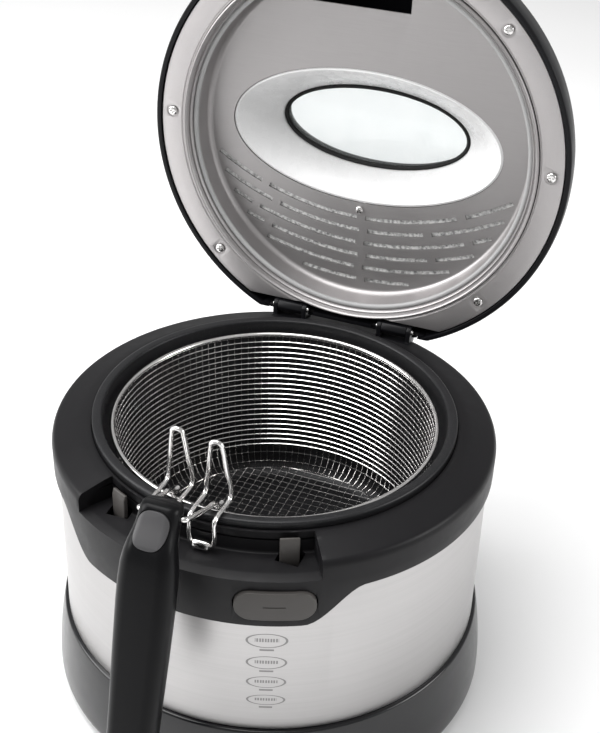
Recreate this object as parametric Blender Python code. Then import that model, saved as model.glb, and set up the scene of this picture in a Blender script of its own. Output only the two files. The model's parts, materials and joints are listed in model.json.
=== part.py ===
"""A small round deep fryer: one closed solid for each real piece, lid standing open.

The bowl's axis is the Z axis of the frame that the pieces are drawn in. Heights are measured
from the top of the bowl's bead (BEAD_Z above the table), and the front is at -Y.
"""
from math import cos, pi, radians, sin, sqrt

import bmesh
import bpy
from mathutils import Matrix, Vector

# ---- driving sizes (metres) --------------------------------------------------------------------
BOWL_R = 0.108            # radius of the bead's crest
BOWL_DEPTH = 0.118        # bead crest to the inside of the floor
BOWL_WALL = 0.0018
UNDER_BOWL = 0.067        # inside of the bowl's floor down to the base
FOOT_HEIGHT = 0.005
FOOT_R = 0.0105
BASE_HEIGHT = 0.0517      # black base, from its lower edge to the steel band
SHEET = 0.0008            # steel band's thickness
SHELL = 0.0025            # moulded walls
GAP = 0.0003              # between pieces that touch
SLIDE_GAP = 0.0006        # round pieces that slide

DECK_WIDTH = 0.027        # bead crest to the deck's outer edge
SKIRT_DEPTH = 0.030       # bead crest to the deck's lower edge
PANEL_DEPTH = 0.053       # bead crest to the lower edge of the front panel
PANEL_HALF_ANGLE = 45.0   # degrees each side of the front
PANEL_FLAT_ANGLE = 28.0   # where its lower edge starts to rise in an S
POCKET_HALF_ANGLE = 33.0
POCKET_DEPTH = 0.0197
BAND_NOTCH_ANGLE = 33.5   # half the opening in the steel behind the release button

LID_OVERHANG = 0.0035     # lid's edge beyond the deck's
LID_HEIGHT = 0.0565
LID_OPEN = 92.4           # degrees
DISH_DEPTH = 0.020        # how far the vent plate stands above the bead when shut
WINDOW_HALF = (0.066, 0.029)
WELL_HALF = (0.092, 0.045)
LID_VENTS = (0.54, 0.62, 0.70)   # steam slots in the lid's back, as shares of the bowl's radius
HINGE_BACK = 0.013        # hinge axis behind the bead's crest
HINGE_DROP = 0.001        # hinge axis below the bead's crest
HINGE_LENGTH = 0.0235
LID_WALL = 0.0036
EAR = 0.0029
EAR_R = 0.0043
PIN_R = 0.0019

BUTTON_ANGLE = 22.3       # degrees to the right of the front
BUTTON_DROP = 0.037
BUTTON_SIZE = (0.046, 0.020)
BUTTON_TRAVEL = 0.0025
CATCH_ANGLE = 26.0
CATCH_WIDTH = 0.011

BASKET_GAP = 0.0049       # basket wall to bowl wall
BASKET_CLEAR = 0.012      # basket floor to bowl floor
WIRE_R = 0.0014
RIM_R = 0.0017
HANDLE_X = -0.008
HANDLE_LENGTH = 0.160
HANDLE_LEAN = 15.0        # degrees out from straight down
HANDLE_WIDTHS = (0.0235, 0.0325, 0.0280)
HANDLE_DEPTHS = (0.016, 0.020)
PIVOT_OUT = 0.031         # handle's pivot in front of the bead's crest
PIVOT_UP = 0.017
NECK_STEP = 0.0095        # how far the grip lies in front of the neck
NECK_LENGTH = 0.024
THUMB_HALF = 0.0092       # thumb button: half width, and its top and foot from the pivot
THUMB_TOP = 0.0045
THUMB_LOW = -0.0140
LOOP_TOP = 0.0395
NOTCH_HALF = 0.032        # half the opening in the lid's front for the handle

RING_STEPS = 40
SMALL_STEPS = 12

# ---- sizes that follow -------------------------------------------------------------------------
BEAD_Z = FOOT_HEIGHT + UNDER_BOWL + BOWL_DEPTH + 0.002
DECK_R = BOWL_R + DECK_WIDTH
LID_R = DECK_R + LID_OVERHANG
LIP_R = BOWL_R + 0.0028
COLLAR_R = LIP_R + 0.0004
BAND_R = DECK_R - 0.003
BASE_R = DECK_R + 0.0046
LATCH_BAR_R = DECK_R - 0.0160
CATCH_R = LATCH_BAR_R - 0.0018
DISH_R = BOWL_R + 0.0106
FLANGE_IN = DISH_R + 0.0004
HINGE_Y = BOWL_R + HINGE_BACK
HINGE_Z = BEAD_Z - HINGE_DROP
LID_CHORD_Y = HINGE_Y + 0.003
HINGE_OUTER = sqrt((LID_R - LID_WALL) ** 2 - LID_CHORD_Y ** 2) - 0.0041
HINGE_INNER = HINGE_OUTER - HINGE_LENGTH
BASKET_R = BOWL_R - 0.0045 - BASKET_GAP
FORK_HALF = HANDLE_WIDTHS[0] / 2 + WIRE_R + 0.0009
BASKET_FLOOR = BOWL_DEPTH - BASKET_CLEAR
PIVOT = Vector((HANDLE_X, -(BOWL_R + PIVOT_OUT), BEAD_Z + PIVOT_UP))

BLACK = ((0.011, 0.011, 0.012), 0.45, 0.0)
BASE_BLACK = ((0.008, 0.008, 0.009), 0.35, 0.0)
DECK_GREY = ((0.016, 0.0155, 0.017), 0.42, 0.0)
BUTTON_GREY = ((0.075, 0.072, 0.069), 0.4, 0.0)
NONSTICK = ((0.030, 0.030, 0.032), 0.4, 0.1)
STEEL = ((0.62, 0.61, 0.60), 0.32, 1.0)
CHROME = ((0.80, 0.80, 0.80), 0.12, 1.0)
SATIN = ((0.55, 0.54, 0.54), 0.38, 0.7)
SILICONE = ((0.50, 0.50, 0.50), 0.5, 0.0)
RUBBER = ((0.03, 0.03, 0.03), 0.8, 0.0)
CERAMIC = ((0.75, 0.72, 0.66), 0.6, 0.0)
FELT = ((0.10, 0.11, 0.12), 0.95, 0.0)
GLASS = ((0.75, 0.80, 0.80), 0.05, 0.0)
LIGHT_GREY = ((0.72, 0.72, 0.72), 0.35, 0.0)


# ---- modelling helpers -------------------------------------------------------------------------
def clear_scene():
    for obj in list(bpy.data.objects):
        bpy.data.objects.remove(obj, do_unlink=True)


def make_material(name, finish):
    colour, roughness, metallic = finish
    mat = bpy.data.materials.new(name)
    mat.use_nodes = True
    shader = mat.node_tree.nodes["Principled BSDF"]
    shader.inputs["Base Color"].default_value = (*colour, 1.0)
    shader.inputs["Roughness"].default_value = roughness
    shader.inputs["Metallic"].default_value = metallic
    mat.diffuse_color = (*colour, 1.0)
    return mat


def add_empty(name, location, parent=None):
    empty = bpy.data.objects.new(name, None)
    empty.location = location
    bpy.context.collection.objects.link(empty)
    if parent is not None:
        empty.parent = parent
        empty.location = Vector(location) - parent_origin(parent)
    return empty


def parent_origin(empty):
    origin = Vector(empty.location)
    while empty.parent is not None:
        empty = empty.parent
        origin += empty.location
    return origin


def finish_object(name, bm, finish, parent, smooth=True):
    """Close up a bmesh drawn in the bowl's frame and hang it on its parent empty."""
    bmesh.ops.remove_doubles(bm, verts=bm.verts, dist=1e-6)
    bmesh.ops.dissolve_degenerate(bm, dist=1e-6, edges=bm.edges)
    bmesh.ops.recalc_face_normals(bm, faces=bm.faces)
    if parent is not None:
        bmesh.ops.translate(bm, verts=bm.verts, vec=-parent_origin(parent))
    mesh = bpy.data.meshes.new(name)
    bm.to_mesh(mesh)
    bm.free()
    if smooth:
        mesh.shade_smooth()
        mesh.set_sharp_from_angle(angle=radians(35))
    obj = bpy.data.objects.new(name, mesh)
    bpy.context.collection.objects.link(obj)
    obj.parent = parent
    if finish is not None:
        mesh.materials.append(make_material(name, finish))
    return obj


def turned_mesh(profile, steps=RING_STEPS, centre=(0.0, 0.0, 0.0)):
    """Spin a closed (radius, height) outline right round the Z axis."""
    bm = bmesh.new()
    verts = [bm.verts.new((r, 0.0, z)) for r, z in profile]
    count = len(verts)
    edges = [bm.edges.new((verts[i], verts[(i + 1) % count])) for i in range(count)
             if profile[i][0] > 0.0 or profile[(i + 1) % count][0] > 0.0]
    bmesh.ops.spin(bm, geom=verts + edges, cent=(0, 0, 0), axis=(0, 0, 1),
                   angle=2 * pi, steps=steps, use_merge=True)
    bmesh.ops.remove_doubles(bm, verts=bm.verts, dist=1e-6)
    bmesh.ops.translate(bm, verts=bm.verts, vec=centre)
    return bm


def turned(name, profile, finish, parent, steps=RING_STEPS, centre=(0.0, 0.0, 0.0)):
    return finish_object(name, turned_mesh(profile, steps, centre), finish, parent)


def swept_mesh(sections, cyclic=False):
    """Join closed sections of equal point counts, with a cap at each end if not cyclic."""
    bm = bmesh.new()
    loops = [[bm.verts.new(p) for p in section] for section in sections]
    count = len(loops[0])
    pairs = list(zip(loops, loops[1:]))
    if cyclic:
        pairs.append((loops[-1], loops[0]))
    else:
        bm.faces.new(loops[0])
        bm.faces.new(loops[-1])
    for low, high in pairs:
        for i in range(count):
            j = (i + 1) % count
            bm.faces.new((low[i], low[j], high[j], high[i]))
    return bm


def swept(name, sections, finish, parent, cyclic=False, smooth=True):
    return finish_object(name, swept_mesh(sections, cyclic), finish, parent, smooth)


def at_angle(radius, degrees, z):
    """A point on a circle round the bowl's axis; 0 degrees is the front, + is to the right."""
    return Vector((radius * sin(radians(degrees)), -radius * cos(radians(degrees)), z))


def sector_sections(outline, start, end, steps):
    """The (radius, height) outline at even steps of angle."""
    angles = [start + (end - start) * i / steps for i in range(steps + 1)]
    return [[at_angle(r, a, z) for r, z in outline] for a in angles]


def box_mesh(low, high):
    bm = bmesh.new()
    bmesh.ops.create_cube(bm, size=1.0)
    size = [h - l for l, h in zip(low, high)]
    middle = [(h + l) / 2 for l, h in zip(low, high)]
    bmesh.ops.scale(bm, verts=bm.verts, vec=size)
    bmesh.ops.translate(bm, verts=bm.verts, vec=middle)
    return bm


def box(name, low, high, finish, parent, edge=0.0):
    bm = box_mesh(low, high)
    if edge > 0.0:
        bmesh.ops.bevel(bm, geom=bm.edges, offset=edge, segments=1, affect="EDGES")
    return finish_object(name, bm, finish, parent, smooth=False)


def rod_mesh(start, end, radius, steps=SMALL_STEPS):
    start, end = Vector(start), Vector(end)
    bm = bmesh.new()
    bmesh.ops.create_cone(bm, cap_ends=True, segments=steps, radius1=radius, radius2=radius,
                          depth=(end - start).length)
    turn = Vector((0, 0, 1)).rotation_difference(end - start).to_matrix().to_4x4()
    bmesh.ops.transform(bm, matrix=Matrix.Translation((start + end) / 2) @ turn, verts=bm.verts)
    return bm


def rod(name, start, end, radius, finish, parent, steps=SMALL_STEPS):
    return finish_object(name, rod_mesh(start, end, radius, steps), finish, parent)


def tube_mesh(points, radius, sides=6, cyclic=False):
    """A round wire along a list of points, its section kept square to the path."""
    points = [Vector(p) for p in points]
    count = len(points)
    sections = []
    normal = None
    for i, point in enumerate(points):
        before = points[(i - 1) % count] if cyclic or i > 0 else point
        after = points[(i + 1) % count] if cyclic or i < count - 1 else point
        along = (after - before).normalized()
        if normal is None:
            normal = along.orthogonal().normalized()
        normal = (normal - along * normal.dot(along)).normalized()
        side = along.cross(normal)
        turns = [2 * pi * k / sides for k in range(sides)]
        sections.append([point + radius * (cos(t) * normal + sin(t) * side) for t in turns])
    return swept_mesh(sections, cyclic)


def tube(name, points, radius, finish, parent, sides=6, cyclic=False):
    return finish_object(name, tube_mesh(points, radius, sides, cyclic), finish, parent)


def rounded_path(corners, radius, steps=3, cyclic=False):
    """The corners of a path, each replaced by a short arc."""
    corners = [Vector(c) for c in corners]
    count = len(corners)
    path = []
    for i, corner in enumerate(corners):
        if not cyclic and i in (0, count - 1):
            path.append(corner)
            continue
        before = corners[i - 1] - corner
        after = corners[(i + 1) % count] - corner
        reach = min(radius, before.length * 0.45, after.length * 0.45)
        start = corner + before.normalized() * reach
        end = corner + after.normalized() * reach
        for k in range(steps + 1):
            t = k / steps
            path.append(start * (1 - t) ** 2 + corner * 2 * t * (1 - t) + end * t ** 2)
    return path


def coil(start, end, radius, turns, steps_per_turn=8):
    """Points of a helix from start to end."""
    start, end = Vector(start), Vector(end)
    along = (end - start).normalized()
    side = along.orthogonal().normalized()
    other = along.cross(side)
    count = turns * steps_per_turn
    points = []
    for i in range(count + 1):
        angle = 2 * pi * i / steps_per_turn
        offset = radius * (cos(angle) * side + sin(angle) * other)
        points.append(start.lerp(end, i / count) + offset)
    return points


def ellipse(half, z, grow=0.0, steps=32):
    turns = [2 * pi * k / steps for k in range(steps)]
    return [Vector(((half[0] + grow) * cos(t), (half[1] + grow) * sin(t), z)) for t in turns]


def cutter(name, bm, parent):
    obj = finish_object(name, bm, None, parent, smooth=False)
    obj.hide_render = True
    obj.display_type = "WIRE"
    return obj


def boolean(obj, operation, other):
    modifier = obj.modifiers.new(f"{operation.lower()} {other.name}", "BOOLEAN")
    modifier.operation = operation
    modifier.solver = "EXACT"
    modifier.object = other


# ---- base --------------------------------------------------------------------------------------
def make_base(root):
    low = FOOT_HEIGHT
    top = low + BASE_HEIGHT
    profile = [
        (BAND_R - SHEET - GAP * 2, top + 0.005), (BAND_R - SHEET - GAP * 2, top),
        (BASE_R - 0.0050, top - 0.0006), (BASE_R - 0.0022, low + BASE_HEIGHT * 0.65),
        (BASE_R - 0.0003, low + BASE_HEIGHT * 0.3), (BASE_R, low + 0.004), (BASE_R - 0.0015, low),
        (BASE_R - 0.0042, low), (BASE_R - SHELL - 0.0005, low + 0.004),
        (BASE_R - SHELL - 0.0022, low + BASE_HEIGHT * 0.65),
        (BAND_R - SHEET - SHELL - 0.0006, top - 0.004),
        (BAND_R - SHEET - SHELL - 0.0006, top + 0.005),
    ]
    shell = turned("base_shell", profile, BASE_BLACK, root)
    inlet_z = low + 0.020
    wall_y = BASE_R - SHELL
    hole = cutter("cut_inlet", rod_mesh((0, wall_y - 0.008, inlet_z), (0, wall_y + 0.010, inlet_z),
                                        0.009 + GAP, 16), root)
    boolean(shell, "DIFFERENCE", hole)
    gland = rod("cord_inlet", (0, wall_y - 0.004, inlet_z), (0, wall_y + 0.0035, inlet_z),
                0.009, BLACK, root, 16)
    bore = cutter("cut_inlet_bore", rod_mesh((0, wall_y - 0.020, inlet_z),
                                             (0, wall_y + 0.020, inlet_z), 0.0042, 12), root)
    boolean(gland, "DIFFERENCE", bore)

    plate_r = BASE_R - 0.0042 - GAP * 2
    turned("base_plate", [(0.0, low + 0.0024), (plate_r, low + 0.0024), (plate_r, low + 0.0002),
                          (0.0, low + 0.0002)], BLACK, root)
    foot_out = BASE_R - 0.026
    for number, angle in enumerate((45, 135, 225, 315), start=1):
        centre = at_angle(foot_out, angle, 0.0)
        foot = [(0.0, low - 0.0001), (FOOT_R - 0.001, low - 0.0001), (FOOT_R, low - 0.001),
                (FOOT_R - 0.0005, 0.0), (0.0, 0.0)]
        turned(f"foot_{number}", foot, RUBBER, root, 20, centre)
    box("terminal_block", (-0.020, plate_r - 0.052, low + 0.0027),
        (0.020, plate_r - 0.034, low + 0.0170), CERAMIC, root, 0.001)


def make_steel_band(root):
    low = FOOT_HEIGHT + BASE_HEIGHT + GAP
    high = BEAD_Z - 0.0142
    inner = BAND_R - SHEET
    band = turned("steel_band", [(BAND_R, high), (BAND_R, low), (inner, low), (inner, high)],
                  STEEL, root)
    for word, bottom, half in (("button", BEAD_Z - PANEL_DEPTH + 0.004, BAND_NOTCH_ANGLE),
                               ("pocket", BEAD_Z - SKIRT_DEPTH - 0.005, PANEL_HALF_ANGLE - 8.0)):
        notch = sector_sections([(inner - 0.004, high + 0.004), (BAND_R + 0.004, high + 0.004),
                                 (BAND_R + 0.004, bottom), (inner - 0.004, bottom)],
                                -half, half, 8)
        boolean(band, "DIFFERENCE", cutter(f"cut_band_{word}", swept_mesh(notch), root))


# ---- bowl and what heats it --------------------------------------------------------------------
def bowl_profile():
    """Outline of the bowl's section, from the axis out under the floor and back inside."""
    floor = BEAD_Z - BOWL_DEPTH
    inner = BOWL_R - 0.0045
    wall = BOWL_WALL
    return [
        (0.0, floor - wall), (inner - 0.015, floor - wall), (inner - 0.0062, floor + 0.0032),
        (inner - 0.0006, floor + 0.017), (inner + wall, BEAD_Z - 0.020),
        (BOWL_R - 0.0014, BEAD_Z - 0.0062), (LIP_R - 0.0003, BEAD_Z - 0.0062),
        (LIP_R, BEAD_Z - 0.003), (BOWL_R + 0.0016, BEAD_Z - 0.0007), (BOWL_R, BEAD_Z),
        (BOWL_R - 0.0018, BEAD_Z - 0.0007), (BOWL_R - 0.0033, BEAD_Z - 0.003),
        (inner, BEAD_Z - 0.020), (inner - 0.0024, floor + 0.018),
        (inner - 0.0075, floor + 0.0050), (inner - 0.0150, floor), (0.0, floor),
    ]


def make_bowl(root):
    turned("bowl", bowl_profile(), NONSTICK, root)
    under = BEAD_Z - BOWL_DEPTH - BOWL_WALL
    ring_r = BOWL_R * 0.65
    tube_r = 0.0038
    height = under - tube_r - GAP
    ring = [at_angle(ring_r, 200 + 320 * i / 26, height) for i in range(27)]
    legs = [ring[0] + Vector((0, 0, -0.022)), ring[0] + Vector((0, 0, -0.006))]
    tail = [ring[-1] + Vector((0, 0, -0.006)), ring[-1] + Vector((0, 0, -0.022))]
    tube("heating_element", legs + ring + tail, tube_r, SATIN, root, 6)
    turned("thermostat", [(0.0, under - GAP), (0.014, under - GAP), (0.014, under - 0.009),
                          (0.009, under - 0.014), (0.0, under - 0.014)], CERAMIC, root, 16)
    rod("thermal_fuse", (0.030, -0.012, under - 0.0034), (0.030, 0.012, under - 0.0034),
        0.003, SATIN, root)


# ---- deck --------------------------------------------------------------------------------------
def deck_top(radius):
    """Height of the deck's sloping top at a radius."""
    return BEAD_Z - 0.0045 - 0.186 * (radius - COLLAR_R)


def make_deck(root):
    edge = DECK_R
    profile = [
        (COLLAR_R, BEAD_Z - 0.0045), (edge - 0.005, deck_top(edge - 0.005)),
        (edge - 0.0014, BEAD_Z - 0.0098), (edge, BEAD_Z - 0.0120),
        (edge - 0.0003, BEAD_Z - SKIRT_DEPTH), (edge - SHELL, BEAD_Z - SKIRT_DEPTH),
        (edge - SHELL, BEAD_Z - 0.0138), (edge - 0.0045, BEAD_Z - 0.0112),
        (COLLAR_R, BEAD_Z - 0.0089), (BOWL_R - 0.0008, BEAD_Z - 0.0089),
        (BOWL_R - 0.0008, BEAD_Z - 0.0065), (COLLAR_R, BEAD_Z - 0.0065),
    ]
    deck = turned("deck_ring", profile, DECK_GREY, root)

    pocket_in = COLLAR_R + 0.0017
    pocket_out = DECK_R - 0.0010
    wall = 0.0017
    low = BEAD_Z - POCKET_DEPTH
    outline = [(pocket_in - wall, BEAD_Z - 0.0080), (pocket_out, BEAD_Z - 0.0100),
               (pocket_out, low - wall), (pocket_in - wall, low - wall)]
    ends = POCKET_HALF_ANGLE + 1.5
    tray = cutter("add_tray", swept_mesh(sector_sections(outline, -ends, ends, 10)), root)
    boolean(deck, "UNION", tray)
    hollow = [(pocket_in, BEAD_Z + 0.004), (DECK_R + 0.010, BEAD_Z + 0.004),
              (DECK_R + 0.010, low), (pocket_in, low)]
    hollow_cut = cutter("cut_pocket", swept_mesh(sector_sections(
        hollow, -POCKET_HALF_ANGLE, POCKET_HALF_ANGLE, 10)), root)
    boolean(deck, "DIFFERENCE", hollow_cut)

    boolean(deck, "UNION", cutter("add_panel", swept_mesh(panel_sections()), root))
    boolean(deck, "DIFFERENCE", cutter("cut_button", button_block(
        BUTTON_SIZE, 0.0007, DECK_R - 0.015, DECK_R + 0.010), root))

    for side in (-1, 1):
        catch = at_angle(CATCH_R, side * CATCH_ANGLE, low)
        reach = CATCH_WIDTH / 2 + 0.0016
        slot = box_mesh((catch.x - reach, catch.y - 0.0048, low - 0.005),
                        (catch.x + reach, catch.y + 0.0044 + BUTTON_TRAVEL, low + 0.003))
        boolean(deck, "DIFFERENCE", cutter(f"cut_catch_{side + 1}", slot, root))
        inner, outer = sorted((side * (HINGE_INNER - GAP), side * (HINGE_OUTER + GAP)))
        seat = box_mesh((inner, HINGE_Y - 0.0070 - GAP, HINGE_Z - 0.014),
                        (outer, HINGE_Y + 0.0070 + GAP, HINGE_Z + 0.010))
        boolean(deck, "DIFFERENCE", cutter(f"cut_hinge_{side + 1}", seat, root))


def panel_sections():
    """The front panel hangs from the skirt and rises in an S at both ends."""
    inner = DECK_R - SHELL - 0.0002
    outer = DECK_R - 0.0001
    top = BEAD_Z - SKIRT_DEPTH + 0.002
    steps = int(PANEL_HALF_ANGLE * 2 / (360 / RING_STEPS))
    sections = []
    for i in range(steps + 1):
        angle = -PANEL_HALF_ANGLE + 2 * PANEL_HALF_ANGLE * i / steps
        rise = (abs(angle) - PANEL_FLAT_ANGLE) / (PANEL_HALF_ANGLE - PANEL_FLAT_ANGLE)
        share = min(max(rise, 0.0), 1.0)
        smooth = share * share * (3 - 2 * share)
        drop = PANEL_DEPTH + (SKIRT_DEPTH + 0.004 - PANEL_DEPTH) * smooth
        outline = [(inner, top), (outer, top), (outer, BEAD_Z - drop), (inner, BEAD_Z - drop)]
        sections.append([at_angle(r, angle, z) for r, z in outline])
    return sections


# ---- latch -------------------------------------------------------------------------------------
def button_block(size, grow, near, far):
    """The button's rounded outline, run from one distance to another out from the bowl's axis."""
    half_w, half_h = size[0] / 2 + grow, size[1] / 2 + grow
    corner = half_h * 0.75
    outline = []
    for corner_x, corner_z, start in ((1, 1, 0), (-1, 1, 90), (-1, -1, 180), (1, -1, 270)):
        for k in range(4):
            turn = radians(start + 30 * k)
            outline.append((corner_x * (half_w - corner) + corner * cos(turn),
                            corner_z * (half_h - corner) + corner * sin(turn)))
    turn = Matrix.Rotation(radians(BUTTON_ANGLE), 3, "Z")
    middle = BEAD_Z - BUTTON_DROP
    return swept_mesh([[turn @ Vector((x, -reach, middle + z)) for x, z in outline]
                       for reach in (near, far)])


def make_latch(root, button_guide, latch_guide):
    button = finish_object("release_button", button_block(BUTTON_SIZE, 0.0, DECK_R - 0.0035,
                                                          DECK_R + 0.0025),
                           BUTTON_GREY, button_guide)
    stem = button_block((0.014, 0.010), 0.0, DECK_R - 0.0080, DECK_R - 0.0030)
    boolean(button, "UNION", cutter("add_stem", stem, button_guide))

    bar_r = LATCH_BAR_R
    low, high = BEAD_Z - 0.0460, BEAD_Z - 0.0350
    outline = [(bar_r, high), (bar_r + 0.0030, high), (bar_r + 0.0030, low), (bar_r, low)]
    bar = swept("latch_bar", sector_sections(outline, -30, 30, 10), BLACK, latch_guide)
    pad_turn = Matrix.Rotation(radians(BUTTON_ANGLE), 3, "Z")
    pad = box_mesh((-0.006, -DECK_R + 0.0085, BEAD_Z - BUTTON_DROP - 0.004),
                   (0.006, -bar_r - 0.0010, BEAD_Z - BUTTON_DROP + 0.0015))
    bmesh.ops.transform(pad, matrix=pad_turn.to_4x4(), verts=pad.verts)
    boolean(bar, "UNION", cutter("add_pad", pad, latch_guide))

    for side, word in ((-1, "left"), (1, "right")):
        turn = Matrix.Rotation(radians(side * CATCH_ANGLE), 4, "Z")
        inner, outer = -CATCH_R + 0.0015, -bar_r + SLIDE_GAP
        top = BEAD_Z - 0.0055
        outline = [(outer, top - 0.0035), (outer + 0.0010, top), (inner, top - 0.0005),
                   (inner, high - 0.0055), (inner - 0.0010, high - 0.0065),
                   (outer, high - 0.0065)]
        half = CATCH_WIDTH / 2
        sections = [[turn @ Vector((x, y, z)) for y, z in outline] for x in (-half, half)]
        swept(f"latch_catch_{word}", sections, BUTTON_GREY, latch_guide, smooth=False)

    spring_x = -0.026
    bar_y = -sqrt(bar_r ** 2 - spring_x ** 2)
    spring_z = (low + high) / 2
    tube("latch_spring", coil((spring_x, bar_y + 0.0030, spring_z),
                              (spring_x, bar_y + 0.0085, spring_z), 0.0026, 4),
         0.0005, STEEL, latch_guide, 5)
    box("spring_seat", (spring_x - 0.005, bar_y + 0.0094, BEAD_Z - 0.0455),
        (spring_x + 0.005, bar_y + 0.0110, BEAD_Z - POCKET_DEPTH - 0.0020), BLACK, root)


# ---- hinges ------------------------------------------------------------------------------------
def make_hinges(root):
    for side, word in ((-1, "left"), (1, "right")):
        xs = sorted((side * HINGE_INNER, side * HINGE_OUTER))
        bracket = box(f"hinge_bracket_{word}", (xs[0], HINGE_Y - 0.0070, HINGE_Z - 0.0098),
                      (xs[1], HINGE_Y + 0.0070, HINGE_Z - 0.0062), BLACK, root)
        for number, ear_x in enumerate((xs[0], xs[1] - EAR)):
            arc = [(HINGE_Y + EAR_R * cos(radians(a)), HINGE_Z + EAR_R * sin(radians(a)))
                   for a in range(0, 181, 30)]
            outline = [(HINGE_Y + EAR_R, HINGE_Z - 0.0070)] + arc
            outline.append((HINGE_Y - EAR_R, HINGE_Z - 0.0070))
            sections = [[Vector((x, y, z)) for y, z in outline] for x in (ear_x, ear_x + EAR)]
            boolean(bracket, "UNION", cutter(f"add_ear_{word}_{number}", swept_mesh(sections),
                                             root))
        bore = rod_mesh((xs[0] - 0.004, HINGE_Y, HINGE_Z), (xs[1] + 0.004, HINGE_Y, HINGE_Z),
                        PIN_R + GAP, 16)
        boolean(bracket, "DIFFERENCE", cutter(f"cut_bore_{word}", bore, root))
        rod(f"hinge_pin_{word}", (xs[0] - 0.0012, HINGE_Y, HINGE_Z),
            (xs[1] + 0.0012, HINGE_Y, HINGE_Z), PIN_R, CHROME, root, 16)


# ---- lid (drawn shut; its empty turns it open) ---------------------------------------------------
def lid_outer():
    """Outside of the lid's section, from its lower edge to the middle of its top."""
    return [
        (LID_R - 0.0003, -0.0026), (LID_R, 0.0040), (LID_R - 0.0020, LID_HEIGHT * 0.36),
        (LID_R - 0.0090, LID_HEIGHT * 0.65), (LID_R - 0.0250, LID_HEIGHT * 0.85),
        (LID_R - 0.0480, LID_HEIGHT * 0.945), (LID_R * 0.36, LID_HEIGHT * 0.985),
        (0.0, LID_HEIGHT),
    ]


def lid_inner(shrink=0.0):
    """Inside of the lid's section, from the middle of its top to its lower edge."""
    wall = LID_WALL + shrink
    skin = SHELL + shrink
    return [
        (0.0, LID_HEIGHT - skin), (LID_R * 0.36, LID_HEIGHT * 0.985 - skin),
        (LID_R - 0.0488, LID_HEIGHT * 0.945 - skin),
        (LID_R - 0.0268 - shrink, LID_HEIGHT * 0.83 - skin),
        (LID_R - 0.0118 - shrink, LID_HEIGHT * 0.62 - shrink),
        (LID_R - 0.0011 - wall, LID_HEIGHT * 0.36),
        (LID_R - wall, 0.0040), (LID_R - wall, -0.0026),
    ]


def raised(profile):
    return [(r, BEAD_Z + z) for r, z in profile]


def notch_block(far, near, high):
    """Room in the lid's front for the handle's wires."""
    return box_mesh((HANDLE_X - NOTCH_HALF, far, BEAD_Z - 0.010),
                    (HANDLE_X + NOTCH_HALF, near, BEAD_Z + high))


def make_lid(lid):
    shell = turned("lid_shell", raised(lid_outer() + lid_inner()), BLACK, lid)
    boolean(shell, "DIFFERENCE", cutter("cut_lid_back", box_mesh(
        (-LID_R, LID_CHORD_Y, BEAD_Z - 0.010), (LID_R, LID_R + 0.010, BEAD_Z + LID_HEIGHT + 0.01)),
        lid))
    boolean(shell, "DIFFERENCE", cutter("cut_lid_front", notch_block(
        -LID_R - 0.010, -BOWL_R + 0.004, 0.027), lid))
    window = [ellipse(WINDOW_HALF, BEAD_Z + LID_HEIGHT * 0.6, -0.003),
              ellipse(WINDOW_HALF, BEAD_Z + LID_HEIGHT + 0.010, -0.003)]
    boolean(shell, "DIFFERENCE", cutter("cut_lid_window", swept_mesh(window), lid))
    for number, share in enumerate(LID_VENTS):
        vent_y = share * BOWL_R
        slot = box_mesh((-0.030, vent_y - 0.002, BEAD_Z + LID_HEIGHT * 0.7),
                        (0.030, vent_y + 0.002, BEAD_Z + LID_HEIGHT + 0.010))
        boolean(shell, "DIFFERENCE", cutter(f"cut_lid_vent_{number}", slot, lid))

    flange = turned("lid_flange", raised([
        (LID_R - 0.0042, 0.0002), (LID_R - 0.0042, -0.0016), (FLANGE_IN, -0.0016),
        (FLANGE_IN, 0.0002)]), SATIN, lid)
    boolean(flange, "DIFFERENCE", cutter("cut_flange_back", box_mesh(
        (-LID_R, HINGE_Y - EAR_R - 0.0011, BEAD_Z - 0.010), (LID_R, LID_R + 0.01, BEAD_Z + 0.010)),
        lid))
    boolean(flange, "DIFFERENCE", cutter("cut_flange_front", notch_block(
        -BOWL_R - 0.0165, -BOWL_R + 0.020, 0.010), lid))
    screw_r = (FLANGE_IN + LID_R - 0.0042) / 2
    for number, angle in enumerate((-134, -88, -45, 45, 88, 134), start=1):
        spot = at_angle(screw_r, angle, BEAD_Z)
        hole = rod_mesh(spot - Vector((0, 0, 0.004)), spot + Vector((0, 0, 0.004)), 0.0018, 10)
        boolean(flange, "DIFFERENCE", cutter(f"cut_screw_{number}", hole, lid))
        head = [(0.0, 0.0070), (0.0014, 0.0070), (0.0014, -0.0019), (0.0032, -0.0019),
                (0.0026, -0.0034), (0.0, -0.0036)]
        turned(f"lid_screw_{number}", head, CHROME, lid, 12, spot)

    make_dish(lid)
    make_window(lid)
    make_hinge_plate(lid)
    for side, word in ((-1, "left"), (1, "right")):
        turn = Matrix.Rotation(radians(side * CATCH_ANGLE), 4, "Z")
        out = CATCH_R + 0.0045
        outline = [(-out, -0.0019), (-out, -0.0150), (-out - 0.0012, -0.0160),
                   (-out - 0.0026, -0.0150), (-out - 0.0026, -0.0019)]
        sections = [[turn @ Vector((x, y, BEAD_Z + z)) for y, z in outline]
                    for x in (-0.0045, 0.0045)]
        swept(f"lid_striker_{word}", sections, CHROME, lid, smooth=False)


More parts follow.
